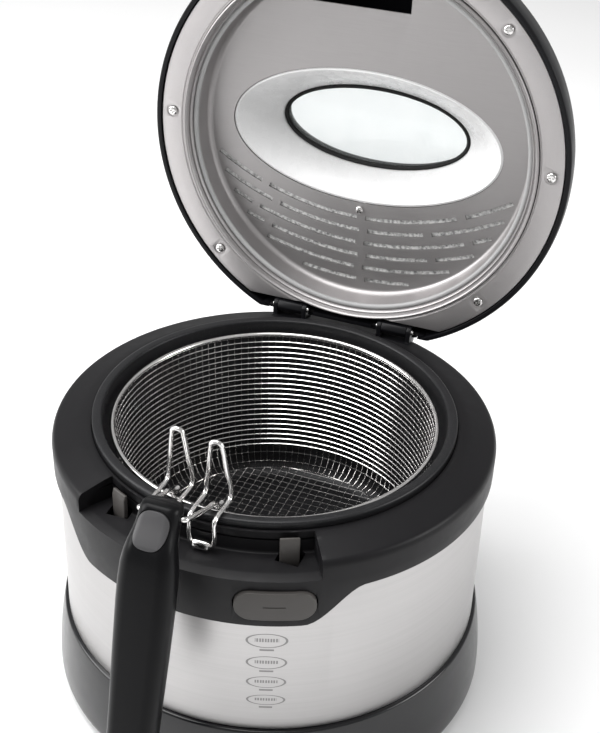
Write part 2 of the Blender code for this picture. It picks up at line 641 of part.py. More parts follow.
def make_dish(lid):
    """Pressed vent plate: a rolled edge, a sloping wall and a flat floor with slots."""
    skin = 0.0012
    top = DISH_DEPTH
    foot_r = DISH_R - 0.0078
    dish = turned("vent_plate", raised([
        (0.0, top + skin), (foot_r, top + skin), (foot_r + 0.0016, top), (DISH_R - 0.0026, 0.0030),
        (DISH_R - 0.0008, -0.0012), (DISH_R, -0.0012), (DISH_R, -0.0024),
        (DISH_R - 0.0014, -0.0032), (DISH_R - 0.0028, -0.0022), (DISH_R - 0.0039, 0.0030),
        (foot_r + 0.0004, top - 0.0008), (foot_r - 0.0008, top), (0.0, top)]), SATIN, lid)
    opening = [ellipse(WELL_HALF, BEAD_Z + top - 0.01), ellipse(WELL_HALF, BEAD_Z + top + 0.01)]
    boolean(dish, "DIFFERENCE", cutter("cut_dish_window", swept_mesh(opening), lid))
    boolean(dish, "DIFFERENCE", cutter("cut_dish_front", notch_block(
        -LID_R, -BOWL_R + 0.024, 0.030), lid))
    rows = 4
    first_y = WELL_HALF[1] + 0.0115
    pitch = (foot_r - 0.006 - first_y) / (rows - 0.5)
    for row in range(rows):
        y = first_y + pitch * row
        reach = sqrt((foot_r - 0.006) ** 2 - y ** 2)
        count = 3 if row < 2 else 2
        for part in range(count):
            low = -reach + 2 * reach * part / count + 0.003
            high = -reach + 2 * reach * (part + 1) / count - 0.003
            slot = box_mesh((low, y - 0.0017, BEAD_Z + top - 0.006),
                            (high, y + 0.0017, BEAD_Z + top + 0.006))
            boolean(dish, "DIFFERENCE", cutter(f"cut_slot_{row}_{part}", slot, lid))

    seal_r = DISH_R - 0.0063
    ring = [at_angle(seal_r, 360 * i / RING_STEPS, BEAD_Z + 0.0040) for i in range(RING_STEPS)]
    gap_angle = 18.0
    kept = [p for i, p in enumerate(ring) if gap_angle < 360 * i / RING_STEPS < 360 - gap_angle]
    tube("lid_seal", kept, 0.0017, SILICONE, lid, 5)

    pad = [(WELL_HALF[1] + 0.010, top + skin + GAP), (foot_r - 0.003, top + skin + GAP),
           (foot_r - 0.006, top + 0.0095), (WELL_HALF[1] + 0.010, top + 0.0110)]
    sections = sector_sections([(r, BEAD_Z + z) for r, z in pad], 145, 215, 10)
    swept("filter_pad", sections, FELT, lid)
    spot = Vector((0.0, WELL_HALF[1] + 0.0050, BEAD_Z + top))
    hole = rod_mesh(spot - Vector((0, 0, 0.004)), spot + Vector((0, 0, 0.004)), 0.0017, 10)
    boolean(dish, "DIFFERENCE", cutter("cut_dish_screw", hole, lid))
    head = [(0.0, 0.0060), (0.0013, 0.0060), (0.0013, -GAP), (0.0028, -GAP), (0.0022, -0.0016),
            (0.0, -0.0018)]
    turned("vent_plate_screw", head, CHROME, lid, 12, spot)


def make_window(lid):
    """A sloping white well runs from the vent plate up to the oval pane under the lid's top."""
    skin = 0.0014
    low = BEAD_Z + DISH_DEPTH + 0.0002
    pane_low = BEAD_Z + LID_HEIGHT * 0.985 - SHELL - 0.0085
    wide = (WELL_HALF[0] - GAP - skin, WELL_HALF[1] - GAP - skin)
    loops = [
        ellipse(wide, low), ellipse(WINDOW_HALF, pane_low - 0.0018, -0.004),
        ellipse(WINDOW_HALF, pane_low - 0.0004, -0.004),
        ellipse(WINDOW_HALF, pane_low - 0.0004, 0.003),
        ellipse(WINDOW_HALF, pane_low - 0.0018, 0.003), ellipse(wide, low, skin),
    ]
    swept("window_well", loops, LIGHT_GREY, lid, cyclic=True)
    glass = [ellipse(WINDOW_HALF, pane_low), ellipse(WINDOW_HALF, pane_low + 0.0030)]
    swept("window_glass", glass, GLASS, lid)
    seal_low, seal_high = pane_low + 0.0033, pane_low + 0.0070
    rings = [ellipse(WINDOW_HALF, seal_low, -0.003), ellipse(WINDOW_HALF, seal_high, -0.003),
             ellipse(WINDOW_HALF, seal_high, 0.001), ellipse(WINDOW_HALF, seal_low, 0.001)]
    swept("window_gasket", rings, RUBBER, lid, cyclic=True)


def make_hinge_plate(lid):
    """Flat back of the lid, with a knuckle for each hinge."""
    front = HINGE_Y + 0.0002
    back = LID_CHORD_Y - 0.0003
    plate = finish_object("lid_hinge_plate", box_mesh(
        (-LID_R, front, BEAD_Z - 0.0023), (LID_R, back, BEAD_Z + LID_HEIGHT)), BLACK, lid,
        smooth=False)
    inside = turned_mesh(raised(lid_inner(0.0004) + [(0.0, -0.0026)]))
    boolean(plate, "INTERSECT", cutter("keep_lid_inside", inside, lid))
    for side, word in ((-1, "left"), (1, "right")):
        xs = sorted((side * (HINGE_INNER - 0.0006), side * (HINGE_OUTER + 0.0006)))
        relief = box_mesh((xs[0], front - 0.01, BEAD_Z - 0.010), (xs[1], back + 0.01,
                                                                  HINGE_Z + 0.0064))
        boolean(plate, "DIFFERENCE", cutter(f"cut_relief_{word}", relief, lid))
        ks = sorted((side * (HINGE_INNER + EAR + GAP), side * (HINGE_OUTER - EAR - GAP)))
        arc = [(HINGE_Y + EAR_R * cos(radians(a)), HINGE_Z + EAR_R * sin(radians(a)))
               for a in range(150, 391, 30)]
        outline = [(back - 0.0002, HINGE_Z + 0.0080), (front + 0.0004, HINGE_Z + 0.0080)] + arc[:-1]
        outline.append((back - 0.0002, HINGE_Z + 0.0020))
        sections = [[Vector((x, y, z)) for y, z in outline] for x in ks]
        boolean(plate, "UNION", cutter(f"add_knuckle_{word}", swept_mesh(sections), lid))
        bore = rod_mesh((xs[0] - 0.004, HINGE_Y, HINGE_Z), (xs[1] + 0.004, HINGE_Y, HINGE_Z),
                        PIN_R + GAP, 16)
        boolean(plate, "DIFFERENCE", cutter(f"cut_knuckle_{word}", bore, lid))


# ---- basket ------------------------------------------------------------------------------------
def make_basket(basket):
    rim_z = BEAD_Z - 0.0072
    floor = BEAD_Z - BASKET_FLOOR
    skin = 0.0015
    radius = BASKET_R
    turned("basket", [
        (0.0, floor - skin), (radius - 0.016, floor - skin), (radius - 0.0060, floor + 0.004),
        (radius - 0.0036, floor + 0.012), (radius, rim_z - RIM_R - GAP),
        (radius - skin, rim_z - RIM_R - GAP), (radius - skin - 0.0036, floor + 0.0125),
        (radius - skin - 0.0060, floor + 0.0055), (radius - skin - 0.015, floor), (0.0, floor)],
        CHROME, basket)
    ring = [at_angle(radius, 360 * i / RING_STEPS, rim_z) for i in range(RING_STEPS)]
    tube("basket_rim", ring, RIM_R, CHROME, basket, 5, cyclic=True)

    for side, word in ((-1, "left"), (1, "right")):
        middle = HANDLE_X + side * 0.0123 + 0.0003
        make_hook(word, middle, rim_z, basket)
    reach = BASKET_R
    ends = []
    for side in (-1, 1):
        foot_x = HANDLE_X + side * FORK_HALF
        foot_y = -sqrt(reach ** 2 - foot_x ** 2)
        lift = rim_z + RIM_R + WIRE_R + GAP
        path = [(foot_x, foot_y + 0.006, lift - 0.0005), (foot_x, foot_y, lift),
                (foot_x, -BOWL_R + 0.006, BEAD_Z + 0.0030),
                (foot_x, -BOWL_R - 0.004, BEAD_Z + 0.0055),
                (HANDLE_X + side * FORK_HALF, PIVOT.y, PIVOT.z)]
        ends.append(path)
    corners = ends[0] + list(reversed(ends[1]))
    tube("handle_fork", rounded_path(corners, 0.004, 3), WIRE_R + 0.0001, CHROME, basket, 6)


def make_hook(word, middle, rim_z, basket):
    """A closed loop of wire that stands up inside the rim and hangs over the bead outside."""
    half = 0.0074
    crown = 0.0038
    top = BEAD_Z + LOOP_TOP
    inside = -sqrt(BASKET_R ** 2 - (abs(middle) + half) ** 2) + RIM_R + WIRE_R + GAP
    outside = -BOWL_R - 0.0090
    arch = [(middle - crown * cos(radians(a)), inside - 0.0020,
             top - crown + crown * sin(radians(a))) for a in range(0, 181, 30)]
    over = BEAD_Z + WIRE_R + 0.0008
    right = [(middle + half, inside, BEAD_Z + 0.006), (middle + half, inside - 0.0020, over),
             (middle + half, outside + 0.002, over), (middle + half, outside, over - 0.003),
             (middle + half, outside, BEAD_Z - 0.0160)]
    left = [(2 * middle - x, y, z) for x, y, z in reversed(right)]
    tube(f"hook_wire_{word}", arch + right + left, WIRE_R, CHROME, basket, 6, cyclic=True)
    sleeve_z = BEAD_Z - 0.0160
    sleeve = rod(f"hook_sleeve_{word}", (middle - half * 0.62, outside, sleeve_z),
                 (middle + half * 0.62, outside, sleeve_z), WIRE_R + 0.0016, CHROME, basket, 10)
    bore = rod_mesh((middle - half, outside, sleeve_z), (middle + half, outside, sleeve_z),
                    WIRE_R + GAP, 10)
    boolean(sleeve, "DIFFERENCE", cutter(f"cut_sleeve_{word}", bore, basket))


# ---- handle ------------------------------------------------------------------------------------
def eased(share):
    """Zero to one along a smooth S."""
    share = min(max(share, 0.0), 1.0)
    return share * share * (3 - 2 * share)


def handle_depth(along):
    """Front to back at a distance down from the pivot."""
    return HANDLE_DEPTHS[0] + (HANDLE_DEPTHS[1] - HANDLE_DEPTHS[0]) * eased(along / 0.035)


def handle_lie(along):
    """Middle of the handle's depth at a distance down from the pivot, before it leans."""
    return -NECK_STEP * eased((along + NECK_LENGTH / 4) / NECK_LENGTH)


def thumb_front(z):
    """Face of the thumb button, which stands proud of the neck's sloping front."""
    return handle_lie(-z) - handle_depth(-z) / 2 - 0.0006


def thumb_outline(grow=0.0):
    middle = (THUMB_TOP + THUMB_LOW) / 2
    half = (THUMB_TOP - THUMB_LOW) / 2 + grow
    outline = []
    for k in range(12):
        turn = 2 * pi * (k + 0.5) / 12
        x = (THUMB_HALF + grow) * abs(cos(turn)) ** 0.7 * (1 if cos(turn) > 0 else -1)
        z = half * abs(sin(turn)) ** 0.7 * (1 if sin(turn) > 0 else -1)
        outline.append((x, middle + z))
    return outline


def handle_section(share, shrink=0.0):
    """Rounded outline of the handle at a share of its length, before it leans."""
    along = share * HANDLE_LENGTH
    neck, grip, end = HANDLE_WIDTHS
    width = neck + (grip - neck) * eased(share / 0.22) + (end - grip) * eased((share - 0.3) / 0.6)
    depth = handle_depth(along)
    pinch = 1.0 if share < 0.92 else 1.0 - 0.35 * ((share - 0.92) / 0.08) ** 2
    half_w = width / 2 * pinch - shrink
    half_d = depth / 2 * pinch - shrink
    points = []
    for k in range(12):
        turn = 2 * pi * (k + 0.5) / 12
        x = half_w * abs(cos(turn)) ** 0.6 * (1 if cos(turn) > 0 else -1)
        y = half_d * abs(sin(turn)) ** 0.6 * (1 if sin(turn) > 0 else -1)
        points.append(Vector((x, y + handle_lie(along), -along)))
    return points


def leaned(points):
    turn = Matrix.Rotation(radians(-HANDLE_LEAN), 3, "X")
    return [PIVOT + turn @ p for p in points]


def make_handle(handle, press):
    shares = [-0.045, -0.03, 0.0, 0.03, 0.06, 0.09, 0.12, 0.17, 0.22, 0.3, 0.6, 0.92, 0.97, 1.0]
    hollow = [0.05, 0.08, 0.12, 0.17, 0.22, 0.3, 0.6, 0.9, 0.965]
    wide = 0.05
    split = GAP / 2
    for word, front in (("front", True), ("back", False)):
        half = swept(f"handle_{word}", [leaned(handle_section(s)) for s in shares], BLACK, handle)
        inner = [leaned(handle_section(s, 0.0024)) for s in hollow]
        boolean(half, "DIFFERENCE", cutter(f"cut_handle_{word}", swept_mesh(inner), handle))
        toward = 1 if front else -1
        away = []
        for share in [-0.3] + shares + [1.3]:
            along = share * HANDLE_LENGTH
            near = handle_lie(along) - toward * split
            far = near + toward * wide
            away.append(leaned([Vector((x, y, -along)) for x, y in (
                (-wide, near), (wide, near), (wide, far), (-wide, far))]))
        boolean(half, "DIFFERENCE", cutter(f"split_handle_{word}", swept_mesh(away), handle))
        bore = rod_mesh(PIVOT - Vector((0.03, 0, 0)), PIVOT + Vector((0.03, 0, 0)),
                        WIRE_R + 0.0001 + SLIDE_GAP, 12)
        boolean(half, "DIFFERENCE", cutter(f"cut_pivot_{word}", bore, handle))
        if front:
            window = [leaned([Vector((x, y, z)) for x, z in thumb_outline(GAP)])
                      for y in (-0.030, -0.0030)]
            boolean(half, "DIFFERENCE", cutter("cut_handle_button", swept_mesh(window), handle))

    thick = 0.0035
    sections = [leaned([Vector((x, thumb_front(z) + deep, z)) for x, z in thumb_outline()])
                for deep in (0.0, thick)]
    swept("handle_button", sections, BUTTON_GREY, press, smooth=False)
    spring_z = THUMB_LOW + 0.0026
    wall = handle_lie(-spring_z) + handle_depth(-spring_z) / 2 - 0.0024
    start = leaned([Vector((0.0, thumb_front(spring_z) + thick + 0.0022, spring_z))])[0]
    end = leaned([Vector((0.0, wall - 0.0022, spring_z))])[0]
    tube("handle_spring", coil(start, end, 0.0022, 5), 0.0004, STEEL, press, 5)


# ---- assembly ----------------------------------------------------------------------------------
def stand_on_origin(root):
    """Move the whole object so that the middle of its footprint is over the origin."""
    bpy.context.view_layer.update()
    graph = bpy.context.evaluated_depsgraph_get()
    corners = []
    for obj in bpy.context.scene.objects:
        if obj.type == "MESH" and not obj.hide_render:
            seen = obj.evaluated_get(graph)
            corners += [seen.matrix_world @ v.co for v in seen.data.vertices]
    for axis in (0, 1):
        values = [c[axis] for c in corners]
        root.location[axis] = -(min(values) + max(values)) / 2
    root.location.z = -min(c.z for c in corners)


def main():
    clear_scene()
    root = add_empty("frame_origin", (0, 0, 0))
    lid = add_empty("lid_axis", (0, HINGE_Y, HINGE_Z), root)
    basket = add_empty("basket_axis", (0, 0, BEAD_Z), root)
    handle = add_empty("handle_axis", PIVOT, basket)
    press = add_empty("handle_button_axis", PIVOT, handle)
    button_guide = add_empty("button_axis", at_angle(DECK_R, BUTTON_ANGLE,
                                                     BEAD_Z - BUTTON_DROP), root)
    latch_guide = add_empty("latch_axis", (0, -DECK_R + 0.016, BEAD_Z - 0.040), root)

    make_base(root)
    make_steel_band(root)
    make_bowl(root)
    make_deck(root)
    make_latch(root, button_guide, latch_guide)
    make_hinges(root)
    make_lid(lid)
    make_basket(basket)
    make_handle(handle, press)
    lid.rotation_euler.x = radians(-LID_OPEN)
    stand_on_origin(root)


main()
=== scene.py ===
"""A small round deep fryer with its lid open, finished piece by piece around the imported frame.

Outlines are in millimetres: a radius from the bowl's axis and a height from the top of the bowl's
bead. Angles round the axis are in degrees, 0 at the front and positive to the right.
"""

import json
from math import atan2, cos, degrees, pi, radians, sin, sqrt

import bmesh
import bpy
from mathutils import Matrix, Vector


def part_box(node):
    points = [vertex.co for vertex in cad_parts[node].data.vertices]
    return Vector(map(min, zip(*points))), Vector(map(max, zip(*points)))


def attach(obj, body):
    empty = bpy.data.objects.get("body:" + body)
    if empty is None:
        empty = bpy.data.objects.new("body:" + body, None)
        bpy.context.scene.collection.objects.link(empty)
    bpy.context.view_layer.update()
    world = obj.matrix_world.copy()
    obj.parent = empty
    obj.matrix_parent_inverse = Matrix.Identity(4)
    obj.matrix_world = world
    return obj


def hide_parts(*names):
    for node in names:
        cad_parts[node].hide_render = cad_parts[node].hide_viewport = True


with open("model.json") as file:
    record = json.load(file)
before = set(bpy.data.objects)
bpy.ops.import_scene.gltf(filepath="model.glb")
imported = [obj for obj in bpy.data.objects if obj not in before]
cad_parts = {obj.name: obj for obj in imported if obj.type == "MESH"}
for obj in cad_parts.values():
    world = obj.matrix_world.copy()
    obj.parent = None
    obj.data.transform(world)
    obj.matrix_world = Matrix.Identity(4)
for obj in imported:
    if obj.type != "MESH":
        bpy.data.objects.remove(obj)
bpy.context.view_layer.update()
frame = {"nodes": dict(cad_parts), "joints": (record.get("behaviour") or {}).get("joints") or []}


# ---- bowl --------------------------------------------------------------------------------------
# The oil bowl is drawn from aluminium sheet with a rolled bead round its top, and coated inside
# and out with a dark non-stick finish that is faintly speckled. It drops into the deck's opening.
MM = 0.001
RING_STEPS = 192


def corners_of(node):
    """The low and the high corner of a frame node's box."""
    return [Vector(corner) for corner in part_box(node)]


bowl_low, bowl_high = corners_of("bowl")
AXIS_Y = (bowl_low.y + bowl_high.y) / 2
BEAD_Z = bowl_high.z


def level(z):
    """A height in metres as millimetres above the top of the bead."""
    return (z - BEAD_Z) / MM


LIP_R = bowl_high.x / MM
BEAD_R = LIP_R - 2.8
BOWL_IN = BEAD_R - 4.5
BOWL_SHEET = 1.8
BOWL_FLOOR = level(bowl_low.z) + BOWL_SHEET


def around(radius, angle, height):
    """The point at that radius and angle round the bowl's axis, at a height from the bead's top."""
    turn = radians(angle)
    return Vector((radius * sin(turn) * MM, AXIS_Y - radius * cos(turn) * MM, BEAD_Z + height * MM))


def rounded(corners, closed):
    """Replaces each (a, b, fillet) corner of an outline by a short arc."""
    points = []
    count = len(corners)
    for i, (a, b, fillet) in enumerate(corners):
        here = Vector((a, b))
        inner = closed or 0 < i < count - 1
        if fillet == 0 or not inner:
            points.append(here)
            continue
        before = Vector(corners[i - 1][:2]) - here
        after = Vector(corners[(i + 1) % count][:2]) - here
        reach = min(fillet, before.length * 0.48, after.length * 0.48)
        start = here + before.normalized() * reach
        end = here + after.normalized() * reach
        steps = 2 if fillet < 1 else 4
        for k in range(steps + 1):
            t = k / steps
            points.append(start * (1 - t) ** 2 + here * 2 * t * (1 - t) + end * t ** 2)
    return points


def draw_line(name, points, closed):
    """A new piece at the origin with one line drawn through the points, left in edit mode."""
    bpy.ops.object.select_all(action="DESELECT")
    bpy.ops.mesh.primitive_plane_add(size=MM, location=(0, 0, 0))
    piece = bpy.context.object
    piece.name = name
    piece.data.name = name
    bpy.ops.object.mode_set(mode="EDIT")
    bpy.ops.mesh.select_all(action="SELECT")
    bpy.ops.mesh.merge(type="CENTER")
    bpy.ops.transform.translate(value=points[0])
    route = points + [points[0]] if closed else points
    for here, there in zip(route, route[1:]):
        bpy.ops.mesh.extrude_vertices_move(TRANSFORM_OT_translate={"value": there - here})
    bpy.ops.mesh.select_all(action="SELECT")
    bpy.ops.mesh.remove_doubles(threshold=0.002 * MM)
    return piece


def leave_edit():
    """Turns every face outward and goes back to object mode."""
    bpy.ops.mesh.select_all(action="SELECT")
    bpy.ops.mesh.normals_make_consistent(inside=False)
    bpy.ops.object.mode_set(mode="OBJECT")


def prism(name, outline, along):
    """A flat outline pushed along a vector into a solid."""
    piece = draw_line(name, outline, True)
    bpy.ops.mesh.edge_face_add()
    bpy.ops.mesh.extrude_region_move(TRANSFORM_OT_translate={"value": along})
    leave_edit()
    return piece


def settled(name):
    """Names the shape just added and puts its place and size into its mesh."""
    bpy.ops.object.transform_apply(location=True, rotation=True, scale=True)
    bpy.context.object.name = name
    return bpy.context.object


def spun(name, corners, closed=True, steps=RING_STEPS, start=0.0, sweep=360.0, centre=(0.0, 0.0)):
    """Draws an outline of (radius, height, fillet) corners and spins it about an upright axis."""
    middle = Vector((centre[0], centre[1], 0))
    points = [around(radius, start, height) + middle for radius, height in rounded(corners, closed)]
    piece = draw_line(name, points, closed)
    if sweep < 360:
        bpy.ops.mesh.edge_face_add()
    bpy.ops.mesh.spin(steps=steps, angle=-radians(sweep), axis=(0, 0, 1),
                      center=middle + Vector((0, AXIS_Y, 0)))
    bpy.ops.mesh.select_all(action="SELECT")
    bpy.ops.mesh.remove_doubles(threshold=0.01 * MM)
    leave_edit()
    return piece


def pick(piece):
    """Makes this the only selected piece, and the active one."""
    bpy.ops.object.select_all(action="DESELECT")
    piece.select_set(True)
    bpy.context.view_layer.objects.active = piece


def smooth(piece, angle=35):
    """Shades the piece smooth, with an edge kept sharp where its faces turn by more than angle."""
    pick(piece)
    bpy.ops.object.shade_smooth_by_angle(angle=radians(angle))


class Flow:
    """One socket of a material, so that shader maths is written as sums."""

    def __init__(self, finish, socket):
        self.finish = finish
        self.socket = socket

    def math(self, operation, first, second=0.0):
        """The result of one Math node."""
        return self.finish.node("ShaderNodeMath", {"operation": operation}, {0: first, 1: second})

    def __add__(self, other):
        return self.math("ADD", self, other)

    def __sub__(self, other):
        return self.math("SUBTRACT", self, other)

    def __rsub__(self, other):
        return self.math("SUBTRACT", other, self)

    def __mul__(self, other):
        return self.math("MULTIPLY", self, other)

    def __truediv__(self, other):
        return self.math("DIVIDE", self, other)

    def __pow__(self, other):
        return self.math("POWER", self, other)

    def __lt__(self, other):
        return self.math("LESS_THAN", self, other)

    def __or__(self, other):
        return self.math("MAXIMUM", self, other)

    def __abs__(self):
        return self.math("ABSOLUTE", self)

    __radd__ = __add__


class Finish:
    """A material whose fixed values sit on the shader and whose nodes are made by one method."""

    def __init__(self, name, **fixed):
        self.material = bpy.data.materials.new(name)
        self.material.use_nodes = True
        self.tree = self.material.node_tree
        self.shader = self.tree.nodes["Principled BSDF"]
        for words, value in fixed.items():
            socket = words.replace("_", " ").title().replace("Ior", "IOR")
            self.shader.inputs[socket].default_value = value
        self.place = self.node("ShaderNodeTexCoord", out="Object")

    def node(self, kind, settings=None, sockets=None, out=0):
        """Adds a node, sets its properties and sockets, and gives one of its outputs."""
        made = self.tree.nodes.new(kind)
        for key, value in (settings or {}).items():
            if key == "stops":
                for element, (position, shade) in zip(made.color_ramp.elements, value):
                    element.position = position
                    element.color = (shade, shade, shade, 1)
            else:
                setattr(made, key, value)
        for key, value in (sockets or {}).items():
            if isinstance(value, Flow):
                self.tree.links.new(value.socket, made.inputs[key])
            else:
                made.inputs[key].default_value = value
        return Flow(self, made.outputs[out])

    def noise(self, size, detail=2.0, stretch=(1.0, 1.0, 1.0)):
        """Soft random patches of about that size in millimetres, drawn out along each axis."""
        spread = [1 / (size * MM * s) for s in stretch]
        moved = self.node("ShaderNodeMapping", {}, {"Vector": self.place, "Scale": spread})
        return self.node("ShaderNodeTexNoise", {}, {"Vector": moved, "Scale": 1.0, "Detail": detail})

    def ramp(self, flow, low, high, shade_low=0.0, shade_high=1.0):
        """Takes a value from one shade to another between two stops."""
        stops = [(low, shade_low), (high, shade_high)]
        return self.node("ShaderNodeValToRGB", {"stops": stops}, {0: flow})

    def blend(self, share, first, second):
        """A colour between two colours."""
        colours = [c if isinstance(c, Flow) else (*c, 1.0) for c in (first, second)]
        return self.node("ShaderNodeMix", {"data_type": "RGBA"},
                         {0: share, 6: colours[0], 7: colours[1]}, 2)

    def bump(self, height, depth, under=None):
        """A Bump node whose full height is depth millimetres."""
        sockets = {"Height": height, "Distance": depth * MM, "Strength": 1.0}
        if under is not None:
            sockets["Normal"] = under
        return self.node("ShaderNodeBump", {}, sockets)

    def feed(self, **flows):
        """Links each flow to the shader socket it is named after, and gives the material."""
        for words, flow in flows.items():
            self.tree.links.new(flow.socket, self.shader.inputs[words.replace("_", " ").title()])
        return self.material


def coated_metal(name, colour, fleck_colour):
    """Baked non-stick coating: satin, with fine paler flecks and a slightly pebbled skin."""
    finish = Finish(name, metallic=0.15, specular_ior_level=0.3)
    flecks = finish.ramp(finish.noise(0.7, 1.0), 0.64, 0.70)
    cloud = finish.noise(30.0, 3.0)
    shade = finish.blend(cloud, colour, [c * 1.35 for c in colour])
    skin = finish.noise(0.5, 2.0)
    return finish.feed(base_color=finish.blend(flecks * 0.5, shade, fleck_colour),
                       roughness=0.30 + cloud * 0.16 + flecks * 0.1,
                       normal=finish.bump(skin, 0.05))


bowl = spun("bowl_drawn", [
    (0, BOWL_FLOOR - BOWL_SHEET, 0), (BOWL_IN - 13, BOWL_FLOOR - BOWL_SHEET, 6),
    (BOWL_IN - 3, BOWL_FLOOR + 7, 12), (BOWL_IN + BOWL_SHEET, -20, 8), (BEAD_R - 1.4, -6.2, 0.5),
    (LIP_R - 0.3, -6.2, 0.5),
    (LIP_R, -0.2, 2.8), (BEAD_R - 0.6, 0, 2.0), (BEAD_R - 3.3, -0.4, 2.6), (BEAD_R - 3.5, -6, 4),
    (BOWL_IN, -20, 8), (BOWL_IN - 3.4, BOWL_FLOOR + 12, 14), (BOWL_IN - 12, BOWL_FLOOR, 9),
    (0, BOWL_FLOOR, 0)], closed=False)
smooth(bowl, 50)
nonstick = coated_metal("nonstick_coating", (0.009, 0.009, 0.010), (0.05, 0.05, 0.05))
bowl.data.materials.append(nonstick)
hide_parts("bowl")
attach(bowl, "housing")


# ---- base shell --------------------------------------------------------------------------------
# The base is a flared ring of glossy black polypropylene. It carries the steel band on its
# inner lip, has a round hole behind for the lead's gland, and stands on four rubber feet.
base_low, base_high = corners_of("base_shell")
BASE_R = base_high.x / MM
BASE_LOW = level(base_low.z)
band_low, band_high = corners_of("steel_band")
BAND_R = band_high.x / MM
BAND_LOW = level(band_low.z)
BAND_TOP = level(band_high.z)
INLET_R = 9.3


def cut(piece, tool, operation="DIFFERENCE"):
    """Cuts or joins with a second shape, which is used up."""
    pick(piece)
    bpy.ops.object.modifier_add(type="BOOLEAN")
    modifier = piece.modifiers[-1]
    modifier.operation = operation
    modifier.solver = "EXACT"
    modifier.object = tool
    bpy.ops.object.modifier_apply(modifier=modifier.name)
    bpy.data.objects.remove(tool, do_unlink=True)


def soften(piece, width, segments=2, angle=40):
    """Rounds the piece's sharp edges by a width in millimetres."""
    pick(piece)
    bpy.ops.object.modifier_add(type="BEVEL")
    modifier = piece.modifiers[-1]
    modifier.width = width * MM
    modifier.segments = segments
    modifier.angle_limit = radians(angle)
    bpy.ops.object.modifier_apply(modifier=modifier.name)


def plug_along_y(name, radius, near, far, x, z):
    """A round cutter lying along Y."""
    bpy.ops.object.select_all(action="DESELECT")
    bpy.ops.mesh.primitive_cylinder_add(vertices=48, radius=radius * MM, depth=far - near,
                                        location=(x, (near + far) / 2, z), rotation=(pi / 2, 0, 0))
    return settled(name)


def moulded(name, colour, roughness, grain=0.35, depth=0.02, gloss=0.3):
    """Moulded plastic: a fine sparked texture, faint flow clouds and rubbed, shinier patches."""
    finish = Finish(name, specular_ior_level=gloss)
    clouds = finish.noise(42.0, 3.0)
    rubbed = finish.ramp(finish.noise(9.0, 4.0), 0.45, 0.75)
    sparked = finish.noise(grain, 2.0)
    shade = finish.blend(clouds, [c * 0.82 for c in colour], [c * 1.22 for c in colour])
    return finish.feed(base_color=finish.blend(sparked, shade, [c * 1.1 for c in colour]),
                       roughness=roughness - rubbed * 0.06 + sparked * 0.05,
                       normal=finish.bump(sparked, depth))


base = spun("base_moulding", [
    (BAND_R - 1.4, BAND_LOW + 4.7, 0), (BAND_R - 1.4, BAND_LOW - 0.3, 0.2),
    (BASE_R - 5.2, BAND_LOW - 0.7, 1.6), (BASE_R - 2.2, BAND_LOW - 18, 12),
    (BASE_R - 0.3, BASE_LOW + 15.5, 8), (BASE_R, BASE_LOW + 4, 2.5), (BASE_R - 1.5, BASE_LOW, 1.2),
    (BASE_R - 4.2, BASE_LOW, 0.8), (BASE_R - 3, BASE_LOW + 4, 1), (BASE_R - 4.7, BAND_LOW - 18, 8),
    (BAND_R - 4.0, BAND_LOW - 4, 2), (BAND_R - 4.0, BAND_LOW + 4.7, 0)])
inlet_low, inlet_high = corners_of("cord_inlet")
inlet_middle = (inlet_low + inlet_high) / 2
cut(base, plug_along_y("inlet_cut", INLET_R, inlet_low.y - 0.01, inlet_high.y + 0.01,
                       inlet_middle.x, inlet_middle.z))
smooth(base)
base_black = moulded("base_gloss_black", (0.004, 0.004, 0.005), 0.22, 0.5, 0.006, 0.45)
base.data.materials.append(base_black)
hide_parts("base_shell")
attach(base, "housing")


# ---- feet --------------------------------------------------------------------------------------
# Four turned rubber feet are pressed into the base plate. Each has a rounded edge and a dished
# sole that grips the table.
rubber = moulded("foot_rubber", (0.010, 0.010, 0.010), 0.70, 0.9, 0.05)
for number in range(1, 5):
    foot_low, foot_high = corners_of(f"foot_{number}")
    middle = (foot_low + foot_high) / 2
    sole = level(foot_low.z)
    top = level(foot_high.z)
    radius = (foot_high.x - foot_low.x) / 2 / MM
    foot = spun(f"foot_{number}_turned", [
        (0, top, 0), (radius - 1, top, 0.6), (radius, top - 1.4, 0.8), (radius - 0.5, sole, 1.2),
        (radius - 3, sole, 0.6), (radius - 3.6, sole + 0.6, 0.4), (0, sole + 0.6, 0)],
        closed=False, steps=48, centre=(middle.x, middle.y - AXIS_Y))
    smooth(foot)
    foot.data.materials.append(rubber)
    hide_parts(f"foot_{number}")
    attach(foot, "housing")


# ---- steel band --------------------------------------------------------------------------------
# The body is a wrap of stainless sheet with a fine brushing that runs round it. Four outlined
# ovals with plain marks and a short bar under each are screen-printed below the release button.
SHEET = 0.8
BUTTON_ANGLE = 22.3
OVAL_ANGLE = 20.6
NOWHERE = -1000.0
OVALS = ((-66.0, 11.2, 5.0), (-82.5, 11.0, 4.6), (-97.5, 10.8, 4.2), (-111.5, 10.6, 3.8))


def sector(name, near, far, low, high, start, end, steps):
    """A block with four sides between two radii, two heights and two angles."""
    return spun(name, [(near, low, 0), (far, low, 0), (far, high, 0), (near, high, 0)],
                steps=steps, start=start, sweep=end - start)


